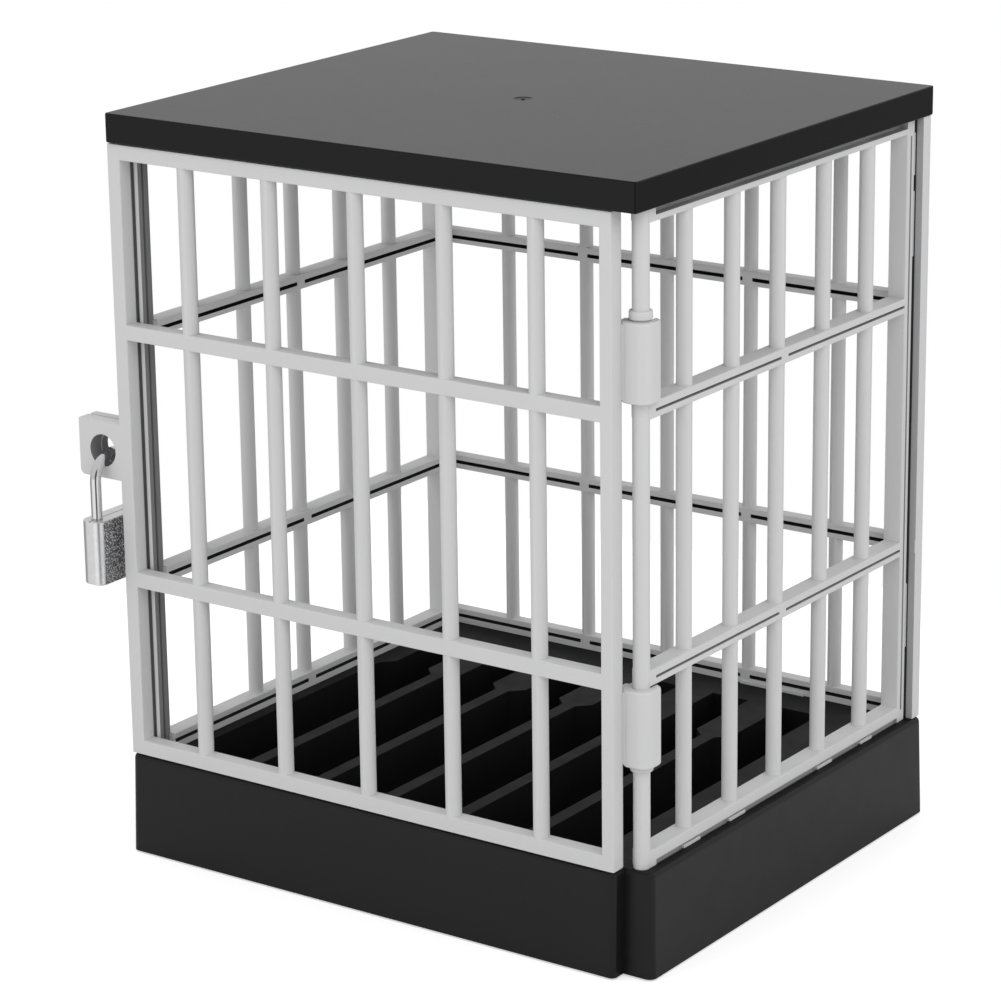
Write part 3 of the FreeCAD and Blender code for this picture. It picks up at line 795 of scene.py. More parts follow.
def finished(
    bm: bmesh.types.BMesh,
    name: str,
    body: Body | None,
    slot: str,
    nodes: Sequence[str],
    materials: Sequence[bpy.types.Material],
) -> bpy.types.Object:
    """Turn a shape into a piece of the object.

    Args:
        bm: Shape in millimetres.
        name: Name of the piece.
        body: Body that it rides on, or None where it follows two bodies.
        slot: Material slot of the record.
        nodes: Nodes of the solid model that it stands for.
        materials: Its finishes, in the order of the faces' material numbers.

    Returns:
        The piece.
    """
    bmesh.ops.scale(bm, vec=(MM, MM, MM), verts=bm.verts)
    for face in bm.faces:
        face.smooth = True
    faces = len(bm.faces)
    piece = blank_object(bm, name)
    piece.data.name = name
    piece.data.set_sharp_from_angle(angle=SMOOTH_BELOW)
    for material in materials:
        piece.data.materials.append(material)
    even = piece.modifiers.new("even_shading", "WEIGHTED_NORMAL")
    even.keep_sharp = True
    even.weight = 80
    if body is not None:
        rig.ride(piece, body.value)
    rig.slot(piece, slot)
    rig.replaces(piece, *nodes)
    log.info("%s: %d faces, rides on %s", name, faces, body.value if body else "two bodies")
    return piece


# ---------------------------------------------------------------- base and rack
@dataclass
class Base:
    """Black base: a skirt that widens downwards, whose front stands back under the hinge."""

    half_x: float = 78.75
    half_y: float = 67.9
    flare: float = 0.6
    heights: Span = (0.5, 27.2)
    upper_edge: float = 1.2
    corner: float = 2.0
    step_round: float = 1.4
    wall: float = 2.6
    ledge: Span = (20.2, 22.7)
    seat_half_x: float = 75.6
    seat_ys: Span = (-58.6, 66.4)
    ledge_half_x: float = 69.8
    ledge_ys: Span = (-56.9, 62.9)
    step_x: float = 71.1
    step_front: float = -63.7
    step_wall: float = 2.5
    boss_x: float = 73.2
    boss_ys: Span = (-48.0, 57.5)
    boss_radius: float = 3.2
    boss_foot: float = 3.5
    pilot_radius: float = 1.25
    pilot_top: float = 15.0

    def skirt(self) -> bmesh.types.BMesh:
        """Solid block of the base with its rounded and leaning sides."""
        corners = [
            (-self.half_x, -self.half_y, self.corner),
            (self.step_x, -self.half_y, self.step_round),
            (self.step_x, self.step_front, 0.0),
            (self.half_x, self.step_front, self.corner),
            (self.half_x, self.half_y, self.corner),
            (-self.half_x, self.half_y, self.corner),
        ]
        bm = bmesh.new()
        ring = [bm.verts.new((x, y, self.heights[1])) for x, y, _ in corners]
        top = bm.faces.new(ring)
        made = bmesh.ops.extrude_face_region(bm, geom=[top], use_keep_orig=True)
        lower = [item for item in made["geom"] if isinstance(item, bmesh.types.BMVert)]
        bmesh.ops.translate(bm, vec=(0.0, 0.0, self.heights[0] - self.heights[1]), verts=lower)
        for vert in lower:
            if abs(vert.co.x) > self.half_x - 1.0:
                vert.co.x += math.copysign(self.flare, vert.co.x)
            if abs(vert.co.y) > abs(self.step_front) - 0.1:
                vert.co.y += math.copysign(self.flare, vert.co.y)
        bmesh.ops.recalc_face_normals(bm, faces=bm.faces)
        for x, y, radius in corners:
            uprights = [
                e
                for e in bm.edges
                if all(math.hypot(v.co.x - x, v.co.y - y) < 1.0 for v in e.verts)
                and abs(e.verts[0].co.z - e.verts[1].co.z) > 5.0
            ]
            if radius and uprights:
                soften(bm, uprights, radius, 6)
        top_z = self.heights[1]
        rim = grouped(bm, lambda co: abs(co.z - top_z) < 1e-4)
        soften(bm, rim, self.upper_edge, 4)
        return bm

    def cavity(self) -> bmesh.types.BMesh:
        """Space under the ledge, with the same step in its front."""
        half_x = self.half_x - self.wall
        half_y = self.half_y - self.wall
        step_x = self.step_x - self.step_wall
        step_y = self.step_front + self.step_wall
        corners = [
            (-half_x, -half_y, 0.0),
            (step_x, -half_y, 0.0),
            (step_x, step_y, 0.0),
            (half_x, step_y, 0.0),
            (half_x, half_y, 0.0),
            (-half_x, half_y, 0.0),
        ]
        return prism(corners, (self.heights[0] - 1.0, self.ledge[0]))

    def build(self, plastic: bpy.types.Material, rack_black_and_rim_shade: bpy.types.Material) -> bpy.types.Object:
        """Shape and dress the base shell.

        Args:
            plastic: Its material.
            rack_black_and_rim_shade: Material of its upper rim, the rack's darker and duller black, which paints the
                shade of the gap under the walls' feet.

        Returns:
            The piece.
        """
        top = self.heights[1]
        openings = [
            self.cavity(),
            block(
                (-self.ledge_half_x, self.ledge_half_x),
                self.ledge_ys,
                (self.ledge[0] - 1.0, self.ledge[1] + 1.0),
            ),
            block((-self.seat_half_x, self.seat_half_x), self.seat_ys, (self.ledge[1], top + 5.0)),
            block(
                (-self.half_x + self.wall, self.step_x - self.step_wall),
                (-self.half_y + self.wall, self.seat_ys[0] - self.wall),
                (self.ledge[0] - 1.0, top - self.wall),
            ),
        ]
        shell = worked(self.skirt(), Cut.REMOVE, openings)
        places = [(side * self.boss_x, y) for side in (-1.0, 1.0) for y in self.boss_ys]
        bosses = [
            rod(self.boss_radius, (x, y, self.boss_foot), (x, y, self.ledge[0] + 0.5), sides=32)
            for x, y in places
        ]
        pilots = [
            rod(self.pilot_radius, (x, y, self.boss_foot - 0.5), (x, y, self.pilot_top), sides=24)
            for x, y in places
        ]
        shell = worked(worked(shell, Cut.JOIN, bosses), Cut.REMOVE, pilots)
        # Upward faces of the upper rim take the rack's darker black: painted shade under the walls' feet.
        for face in shell.faces:
            if face.normal.z > 0.9 and face.calc_center_median().z > top - self.upper_edge:
                face.material_index = 1
        nodes = ["base_shell"]
        return finished(shell, "base_skirt", Body.CAGE, "base_plastic", nodes, [plastic, rack_black_and_rim_shade])


@dataclass
class PhoneRack:
    """Deck in the base with six wells that phones stand in on edge."""

    half_x: float = 71.6
    ys: Span = (-58.5, 64.7)
    top: float = 27.2
    deck: float = 2.5
    ledge_top: float = 22.7
    ledge_half_x: float = 69.8
    ledge_ys: Span = (-56.9, 62.9)
    count: int = 6
    pitch: float = 21.8
    middle: float = -4.2
    width: float = 17.9
    narrow_width: float = 11.1
    front: float = -55.0
    taper_start: float = 24.0
    rear: float = 53.3
    depth: float = 20.0
    wall: float = 1.5
    rim_edge: float = 0.4

    def middles(self) -> list[float]:
        """Middle of each well in x."""
        first = self.middle - self.pitch * (self.count - 1) / 2.0
        return [first + self.pitch * index for index in range(self.count)]

    def well(self, x: float) -> bmesh.types.BMesh:
        """Space of one well: wide in front, narrower behind a short taper."""
        wide = self.width / 2.0
        narrow = self.narrow_width / 2.0
        taper_end = self.taper_start + wide - narrow
        outline = [
            (x - wide, self.front, 0.0),
            (x + wide, self.front, 0.0),
            (x + wide, self.taper_start, 0.0),
            (x + narrow, taper_end, 0.0),
            (x + narrow, self.rear, 0.0),
            (x - narrow, self.rear, 0.0),
            (x - narrow, taper_end, 0.0),
            (x - wide, self.taper_start, 0.0),
        ]
        return prism(outline, (self.top - self.depth, self.top + 2.0))

    def build(self, plastic: bpy.types.Material) -> bpy.types.Object:
        """Shape and dress the rack.

        Args:
            plastic: Its material.

        Returns:
            The piece.
        """
        under = self.top - self.deck
        middles = self.middles()
        wells_xs = (
            middles[0] - self.width / 2.0 - self.wall,
            middles[-1] + self.width / 2.0 + self.wall,
        )
        bottom = self.top - self.depth - self.wall
        tub = block(
            wells_xs, (self.front - self.wall, self.rear + self.wall), (bottom, under + 0.5), 0.3
        )
        ledge_xs = (-self.ledge_half_x, self.ledge_half_x)
        rim = worked(
            block((-self.half_x, self.half_x), self.ys, (self.ledge_top, under + 0.5)),
            Cut.REMOVE,
            [block(ledge_xs, self.ledge_ys, (self.ledge_top - 1.0, under + 1.0))],
        )
        deck = block((-self.half_x, self.half_x), self.ys, (under, self.top))
        rack = worked(deck, Cut.JOIN, [rim, tub])
        half_hollow = (self.pitch - self.narrow_width) / 2.0 - self.wall
        hollow_front = self.taper_start + (self.width - self.narrow_width) / 2.0 + self.wall
        hollows = [
            block(
                (x + self.pitch / 2.0 - half_hollow, x + self.pitch / 2.0 + half_hollow),
                (hollow_front, self.rear + self.wall + 1.0),
                (bottom - 1.0, under),
            )
            for x in middles[:-1]
        ]
        rack = worked(rack, Cut.REMOVE, [self.well(x) for x in middles] + hollows)
        bmesh.ops.dissolve_limit(
            rack, angle_limit=math.radians(0.5), verts=rack.verts[:], edges=rack.edges[:]
        )
        rims = grouped(rack, lambda co: abs(co.z - self.top) < 1e-3)
        soften(rack, [e for e in rims if e.calc_face_angle(0.0) > 0.5], self.rim_edge)
        return finished(rack, "rack_deck", Body.CAGE, "rack_plastic", ["rack_tray"], [plastic])


# ---------------------------------------------------------------- walls
@dataclass
class RailHeights:
    """Heights of the four rails that the walls share."""

    bottom: Span = (27.2, 31.5)
    lower: Span = (73.0, 77.0)
    upper: Span = (138.0, 142.0)
    top: Span = (184.2, 188.1)
    bar_sink: float = 1.0

    def spans(self) -> tuple[Span, Span, Span, Span]:
        """The rails from the bottom up."""
        return self.bottom, self.lower, self.upper, self.top

    def full(self) -> Span:
        """Height of a wall without its tongues."""
        return self.bottom[0], self.top[1]

    def bars(self) -> Span:
        """Height of a bar with the ends that run into the rails."""
        return self.bottom[1] - self.bar_sink, self.top[0] + self.bar_sink


@dataclass
class Hasp:
    """The two plates with an eye that the padlock goes through."""

    left: float = -91.8
    heights: Span = (100.7, 115.7)
    corner: float = 1.5
    eye_x: float = -83.95
    eye_z: float = 108.0
    eye_radius: float = 4.15
    edge: float = 0.3

    def plate(self, right: float, ys: Span) -> bmesh.types.BMesh:
        """Plate with its eye.

        Args:
            right: Where the plate ends inside the stile that carries it.
            ys: Its front and rear face.

        Returns:
            The closed plate.
        """
        bm = block((self.left, right), ys, self.heights)
        lower_left = grouped(
            bm,
            lambda co: co.x < self.left + 1e-4 and co.z < self.heights[0] + 1e-4,
        )
        soften(bm, lower_left, self.corner, 6)
        outer = [
            e
            for e in bm.edges
            if e.calc_face_angle(0.0) > 0.6 and not all(v.co.x > right - 1e-4 for v in e.verts)
        ]
        soften(bm, outer, self.edge, 2)
        eye = rod(
            self.eye_radius,
            (self.eye_x, ys[0] - 1.0, self.eye_z),
            (self.eye_x, ys[1] + 1.0, self.eye_z),
            sides=48,
        )
        bm = worked(bm, Cut.REMOVE, [eye])

        def on_rim(co: Vector) -> bool:
            """Whether a point lies on the rim of the eye in one of the two faces."""
            reach = math.hypot(co.x - self.eye_x, co.z - self.eye_z)
            return abs(reach - self.eye_radius) < 0.01 and min(abs(co.y - y) for y in ys) < 1e-3

        rims = grouped(bm, on_rim)
        rims = [e for e in rims if abs(e.verts[0].co.y - e.verts[1].co.y) < 0.5]
        soften(bm, rims, 0.2, 2)
        # The bore of the eye takes the darkest copy of the plastic: painted shade inside the eye.
        for face in bm.faces:
            middle = face.calc_center_median()
            reach = math.hypot(middle.x - self.eye_x, middle.z - self.eye_z)
            if reach < self.eye_radius + 0.1 and abs(face.normal.y) < 0.5:
                face.material_index = PaintedShade.NOOK.value
        return bm


@dataclass
class SideWall:
    """One barred side wall, described on the +X side."""

    heights: RailHeights
    outer: float = 76.0
    inner: float = 71.0
    end: float = 63.0
    stile: float = 3.7
    bar_radius: float = 1.95
    bar_inset: float = 0.4
    tongue_xs: Span = (71.8, 75.4)
    tongue_front: float = -58.3
    tongue_top: float = 191.0
    ledge_top: float = 22.7
    inner_depth: float = 2.6
    outer_depth: float = 1.6
    inner_grooves: tuple[Span, ...] = ((29.0, 30.0), (74.5, 75.5), (139.3, 140.3))
    outer_grooves: tuple[Span, ...] = ((74.5, 75.2), (139.5, 140.2))
    stile_groove: Span = (60.9, 61.6)
    foot_recess: float = 0.9
    top_recess: float = 2.2
    clip_tabs: tuple[Span, ...] = ((-44.8, -37.4), (-23.9, -16.6), (18.5, 25.7), (40.4, 46.1))
    top_tabs: tuple[Span, ...] = ((-42.7, -18.6), (16.5, 43.8))
    edge: float = 0.3

    def rails(self, front: float) -> list[bmesh.types.BMesh]:
        """The four rails from front to rear."""
        return [
            block((self.inner, self.outer), (front, self.end), zs, self.edge)
            for zs in self.heights.spans()
        ]

    def rear_stile(self) -> bmesh.types.BMesh:
        """Upright at the rear end."""
        ys = (self.end - self.stile, self.end)
        return block((self.inner, self.outer), ys, self.heights.full(), self.edge)

    def bars(self, places: Sequence[float]) -> list[bmesh.types.BMesh]:
        """Round bars at the given places in y."""
        x = self.outer - self.bar_radius - self.bar_inset
        low, high = self.heights.bars()
        return [rod(self.bar_radius, (x, y, low), (x, y, high)) for y in places]

    def tongues(self) -> list[bmesh.types.BMesh]:
        """Tongues that sit in the base and in the lid."""
        ys = (self.tongue_front, self.end)
        sink = self.heights.bar_sink
        return [
            block(self.tongue_xs, ys, (self.ledge_top, self.heights.bottom[0] + sink)),
            block(self.tongue_xs, ys, (self.heights.top[1] - sink, self.tongue_top)),
        ]

    def runs(self, front: float, break_at: float) -> tuple[Span, Span]:
        """Runs of the grooves in y, which stop short at one bar.

        Args:
            front: Where the grooves begin.
            break_at: Place of the bar that interrupts them.

        Returns:
            The run before the bar and the one behind it.
        """
        return (front, break_at - 1.6), (break_at + 1.6, self.end - self.stile)

    def upright(self) -> Span:
        """Height of the grooves in the stiles."""
        return self.heights.bottom[0] + 3.3, self.heights.top[0] - 0.6

    def outer_recesses(self, front: float, break_at: float) -> list[Box]:
        """Grooves of the outer face, from the front to the rear stile."""
        xs = (self.outer - self.outer_depth, self.outer + 1.0)
        boxes = [(xs, ys, zs) for ys in self.runs(front, break_at) for zs in self.outer_grooves]
        return [*boxes, (xs, self.stile_groove, self.upright())]

    def inner_recesses(self, front: float, break_at: float) -> list[Box]:
        """Grooves of the inner face, from the front to the rear stile."""
        xs = (self.inner - 1.0, self.inner + self.inner_depth)
        boxes = [(xs, ys, zs) for ys in self.runs(front, break_at) for zs in self.inner_grooves]
        return [*boxes, (xs, self.stile_groove, self.upright())]

    def foot_strip(self, front: float) -> Box:
        """Sunk strip along the foot of the outer face."""
        xs = (self.outer - self.foot_recess, self.outer + 1.0)
        foot = self.heights.bottom[0]
        return xs, (front, self.end - self.stile), (foot - 1.0, foot + 1.5)

    def top_strip(self, front: float) -> Box:
        """Sunk strip along the top of the outer face."""
        xs = (self.outer - self.top_recess, self.outer + 1.0)
        low, high = self.heights.top
        return xs, (front, self.end - self.stile), (low + 1.5, high + 1.0)

    def tabs(self) -> list[bmesh.types.BMesh]:
        """Clip tabs that stand in the sunk strips, flush with the outer face."""
        foot_xs = (self.outer - self.foot_recess - 0.2, self.outer)
        top_xs = (self.outer - self.top_recess - 0.2, self.outer)
        bottom, top = self.heights.bottom, self.heights.top
        tabs = [block(foot_xs, ys, (bottom[0], bottom[0] + 0.8), 0.1, 1) for ys in self.clip_tabs]
        tabs += [block(top_xs, ys, (top[1] - 0.7, top[1]), 0.1, 1) for ys in self.top_tabs]
        return tabs

    def slits(self) -> list[bmesh.types.BMesh]:
        """Tools for the slit in front of each lower clip tab."""
        xs = (self.outer - self.foot_recess - 0.6, self.outer + 1.0)
        zs = (self.heights.bottom[0] - 1.0, self.heights.bottom[0] + 1.2)
        return [block(xs, (ys[0] - 1.2, ys[0]), zs) for ys in self.clip_tabs]


@dataclass
class HingeWall(SideWall):
    """Right wall; its front edge is the round post that the door turns on."""

    bar_ys: tuple[float, ...] = (-41.5, -20.5, 0.4, 21.9, 43.2)
    hinge_x: float = 73.76
    hinge_y: float = -60.12
    post_radius: float = 2.06
    rail_start: float = 2.9
    collar_radius: float = 2.8
    collars: tuple[Span, ...] = ((51.9, 53.1), (161.8, 163.9))

    def build(self, plastics: Sequence[bpy.types.Material]) -> bpy.types.Object:
        """Shape and dress the wall.

        Args:
            plastics: Material of the bars and its darker copies that paint shade in grooves and strips.

        Returns:
            The piece.
        """
        x, y = self.hinge_x, self.hinge_y
        low, high = self.heights.full()
        post = rod(self.post_radius, (x, y, low), (x, y, high), sides=48)
        collars = [
            rod(self.collar_radius, (x, y, zs[0]), (x, y, zs[1]), 0.35, 48) for zs in self.collars
        ]
        adds = self.rails(y)[1:] + [self.rear_stile(), post]
        adds += collars + self.bars(self.bar_ys) + self.tongues()
        wall = worked(self.rails(y)[0], Cut.JOIN, adds)
        front = y + self.rail_start
        deep = self.inner_recesses(front, self.bar_ys[2])
        strips = [self.foot_strip(front), self.top_strip(front)]
        shallow = self.outer_recesses(front, self.bar_ys[2]) + strips
        cuts = [block(*box) for box in deep + shallow]
        wall = worked(wall, Cut.REMOVE, cuts)
        # Inner grooves take a dark copy of the plastic, outer grooves and sunk strips a greyer one: painted shade.
        paint_shade_on_faces(wall, deep, 0, self.inner, PaintedShade.DEEP)
        paint_shade_on_faces(wall, shallow, 0, self.outer, PaintedShade.SHALLOW)
        wall = worked(worked(wall, Cut.JOIN, self.tabs()), Cut.REMOVE, self.slits())
        return finished(
            wall, "hinge_side_bars", Body.CAGE, "bar_plastic", ["hinge_wall"], plastics
        )


@dataclass
class HaspWall(SideWall):
    """Left wall with the fixed plate of the hasp at its front edge."""

    hasp: Hasp = field(default_factory=Hasp)
    front: float = -63.5
    bar_ys: tuple[float, ...] = (-43.6, -22.5, -1.5, 19.3, 40.7)
    front_stile: float = 4.1
    front_inner: float = 72.5
    channel_ys: Span = (-62.1, -61.3)
    groove_xs: Span = (73.6, 75.0)
    groove_depth: float = 0.9
    plate_ys: Span = (-63.5, -61.1)

    def build(self, plastics: Sequence[bpy.types.Material]) -> bpy.types.Object:
        """Shape and dress the wall.

        Args:
            plastics: Material of the bars and its darker copies that paint shade in grooves, strips and nooks.

        Returns:
            The piece.
        """
        start = self.front + self.front_stile
        stile_xs = (self.front_inner, self.outer)
        stile = block(stile_xs, (self.front, start), self.heights.full(), self.edge)
        adds = self.rails(start - 0.5)[1:] + [self.rear_stile(), stile]
        adds += self.bars(self.bar_ys) + self.tongues()
        wall = worked(self.rails(start - 0.5)[0], Cut.JOIN, adds)
        deep = self.inner_recesses(start, self.bar_ys[2])
        strips = [self.foot_strip(start), self.top_strip(start)]
        shallow = self.outer_recesses(start, self.bar_ys[2]) + strips
        channel_xs = (self.front_inner - 1.0, self.front_inner + self.inner_depth)
        channel = (channel_xs, self.channel_ys, self.upright())
        groove_ys = (self.front - 1.0, self.front + self.groove_depth)
        groove = (self.groove_xs, groove_ys, self.upright())
        cuts = [block(*box) for box in [*deep, *shallow, channel, groove]]
        wall = worked(wall, Cut.REMOVE, cuts)
        # Inner grooves take a dark copy of the plastic, outer grooves and sunk strips a greyer one: painted shade.
        paint_shade_on_faces(wall, deep, 0, self.inner, PaintedShade.DEEP)
        paint_shade_on_faces(wall, shallow, 0, self.outer, PaintedShade.SHALLOW)
        # The front stile's inner side, its channel and its front groove take the darkest copy: painted shade.
        near = 0.1
        side_xs = (self.front_inner - 0.5, self.front_inner + near)
        side = (side_xs, (self.front + near, start), self.heights.full())
        paint_shade_on_faces(wall, [side], 0, self.inner, PaintedShade.NOOK)
        paint_shade_on_faces(wall, [channel], 0, self.front_inner, PaintedShade.NOOK)
        paint_shade_on_faces(wall, [groove], 1, self.front, PaintedShade.NOOK)
        wall = worked(worked(wall, Cut.JOIN, self.tabs()), Cut.REMOVE, self.slits())
        wall = mirrored(wall)
        plate = self.hasp.plate(-self.outer + 1.0, self.plate_ys)
        wall = worked(wall, Cut.JOIN, [plate])
        return finished(wall, "hasp_side_bars", Body.CAGE, "bar_plastic", ["left_wall"], plastics)


@dataclass
class BackWall:
    """Barred back wall between the rear ends of base and lid."""

    heights: RailHeights
    ys: Span = (64.1, 67.9)
    half_x: float = 77.9
    stile: float = 5.2
    bar_radius: float = 1.85
    bar_xs: tuple[float, ...] = (-51.5, -25.8, 0.1, 26.3, 53.0)
    tongue_half_x: float = 71.0
    tongue_ys: Span = (64.9, 66.2)
    tongue_top: float = 191.0
    ledge_top: float = 22.7
    groove_depth: float = 2.6
    grooves: tuple[Span, ...] = ((29.0, 30.0), (74.5, 75.5), (139.3, 140.3))
    break_half: float = 1.5
    rib_xs: Span = (72.2, 75.6)
    rib_front: float = 63.0
    rib_heights: tuple[Span, ...] = ((47.0, 64.5), (152.0, 169.0), (173.0, 184.0))
    tab_xs: Span = (25.0, 45.0)
    tab_depth: float = 0.5
    tab_height: float = 1.0
    gap_xs: Span = (71.0, 76.0)
    edge: float = 0.3

    def build(self, plastics: Sequence[bpy.types.Material]) -> bpy.types.Object:
        """Shape and dress the wall.

        Args:
            plastics: Material of the bars and its darker copies that paint shade in grooves and gaps.

        Returns:
            The piece.
        """
        full = (-self.half_x, self.half_x)
        rails = [block(full, self.ys, zs, self.edge) for zs in self.heights.spans()]
        stiles = [
            block(xs, self.ys, self.heights.full(), self.edge)
            for xs in (
                (-self.half_x, -self.half_x + self.stile),
                (self.half_x - self.stile, self.half_x),
            )
        ]
        middle = (self.ys[0] + self.ys[1]) / 2.0
        low, high = self.heights.bars()
        bars = [rod(self.bar_radius, (x, middle, low), (x, middle, high)) for x in self.bar_xs]
        sink = self.heights.bar_sink
        tongue_xs = (-self.tongue_half_x, self.tongue_half_x)
        tongues = [
            block(tongue_xs, self.tongue_ys, (self.ledge_top, self.heights.bottom[0] + sink)),
            block(tongue_xs, self.tongue_ys, (self.heights.top[1] - sink, self.tongue_top)),
        ]
        low_x, high_x = self.rib_xs
        ribs = [
            block(xs, (self.rib_front, self.ys[0] + 0.5), zs, 0.15, 1)
            for xs in ((-high_x, -low_x), (low_x, high_x))
            for zs in self.rib_heights
        ]
        foot = self.heights.bottom[0]
        tab_ys = (self.ys[0] - self.tab_depth, self.ys[0] + self.tab_depth)
        tab = block(self.tab_xs, tab_ys, (foot, foot + self.tab_height), 0.1, 1)
        wall = worked(rails[0], Cut.JOIN, rails[1:] + stiles + bars + tongues + ribs + [tab])
        first, second = self.bar_xs[1], self.bar_xs[3]
        runs = (
            (-self.half_x + self.stile, first - self.break_half),
            (first + self.break_half, second - self.break_half),
            (second + self.break_half, self.half_x - self.stile),
        )
        groove_ys = (self.ys[0] - 1.0, self.ys[0] + self.groove_depth)
        grooves = [(xs, groove_ys, zs) for xs in runs for zs in self.grooves]
        wall = worked(wall, Cut.REMOVE, [block(*box) for box in grooves])
        # The inner grooves take a dark copy of the plastic: painted shade.
        paint_shade_on_faces(wall, grooves, 1, self.ys[0], PaintedShade.DEEP)
        for x in (-self.gap_xs[1], -self.gap_xs[0], *self.gap_xs):
            everything = [*wall.verts, *wall.edges, *wall.faces]
            bmesh.ops.bisect_plane(
                wall, geom=everything, plane_co=(x, 0.0, 0.0), plane_no=(1.0, 0.0, 0.0)
            )
        # On the front face, the part behind the side walls' rear stiles takes the dark copy and the stile fronts beyond
        # them the greyer one: painted shade.
        near = 0.05
        for face in wall.faces:
            middle = face.calc_center_median()
            if abs(middle.x) > self.gap_xs[0] and abs(middle.y - self.ys[0]) < near:
                hidden = abs(middle.x) < self.gap_xs[1]
                finish = PaintedShade.DEEP if hidden else PaintedShade.SHALLOW
                face.material_index = finish.value
        return finished(wall, "back_bars", Body.CAGE, "bar_plastic", ["back_wall"], plastics)


# ---------------------------------------------------------------- lid
@dataclass
class Lid:
    """Flat black lid whose thick rim takes the upper tongues of the walls."""

    half_x: float = 78.15
    half_y: float = 68.75
    heights: Span = (188.1, 195.5)
    corner: float = 0.9
    edge: float = 0.35
    plate: float = 2.0
    hollow_x: float = 69.5
    hollow_ys: Span = (-60.0, 62.5)
    slack: float = 0.1
    side_tongue: Span = (71.8, 75.4)
    side_tongue_ys: Span = (-58.6, 63.8)
    back_tongue: Span = (64.9, 66.2)
    back_tongue_x: float = 71.0
    tongue_top: float = 191.0
    gate_mark: Span = (-0.4, 0.3)
    gate_radius: float = 2.5
    gate_depth: float = 0.3
    nub_radius: float = 0.45
    nub_sink: float = 0.05

    def gate_dimple(self) -> bmesh.types.BMesh:
        """Tool for the shallow dimple that the mould's gate leaves."""
        x, y = self.gate_mark
        top = self.heights[1]
        bm = bmesh.new()
        bmesh.ops.create_uvsphere(bm, u_segments=40, v_segments=24, radius=1.0)
        bmesh.ops.scale(
            bm, vec=(self.gate_radius, self.gate_radius, self.gate_depth), verts=bm.verts
        )
        bmesh.ops.translate(bm, vec=(x, y, top), verts=bm.verts)
        return bm

    def build(self, plastic: bpy.types.Material) -> bpy.types.Object:
        """Shape and dress the lid.

        Args:
            plastic: Its material.

        Returns:
            The piece.
        """
        outline = rectangle((-self.half_x, self.half_x), (-self.half_y, self.half_y), self.corner)
        lid = prism(outline, self.heights, edge=self.edge)
        low = self.heights[0] - 1.0
        groove_zs = (low, self.tongue_top + self.slack)
        tools = [
            block(
                (-self.hollow_x, self.hollow_x), self.hollow_ys, (low, self.heights[1] - self.plate)
            ),
            block(
                (-self.back_tongue_x - self.slack, self.back_tongue_x + self.slack),
                (self.back_tongue[0] - self.slack, self.back_tongue[1] + self.slack),
                groove_zs,
            ),
            self.gate_dimple(),
        ]
        inner, outer = self.side_tongue[0] - self.slack, self.side_tongue[1] + self.slack
        tools += [
            block(xs, self.side_tongue_ys, groove_zs)
            for xs in ((-outer, -inner), (inner, outer))
        ]
        lid = worked(lid, Cut.REMOVE, tools)
        nub_top = self.heights[1] - self.nub_sink
        x, y = self.gate_mark
        nub = rod(self.nub_radius, (x, y, nub_top - 0.6), (x, y, nub_top), 0.12, 24)
        lid = worked(lid, Cut.JOIN, [nub])
        return finished(lid, "lid_cap", Body.CAGE, "lid_plastic", ["lid"], [plastic])


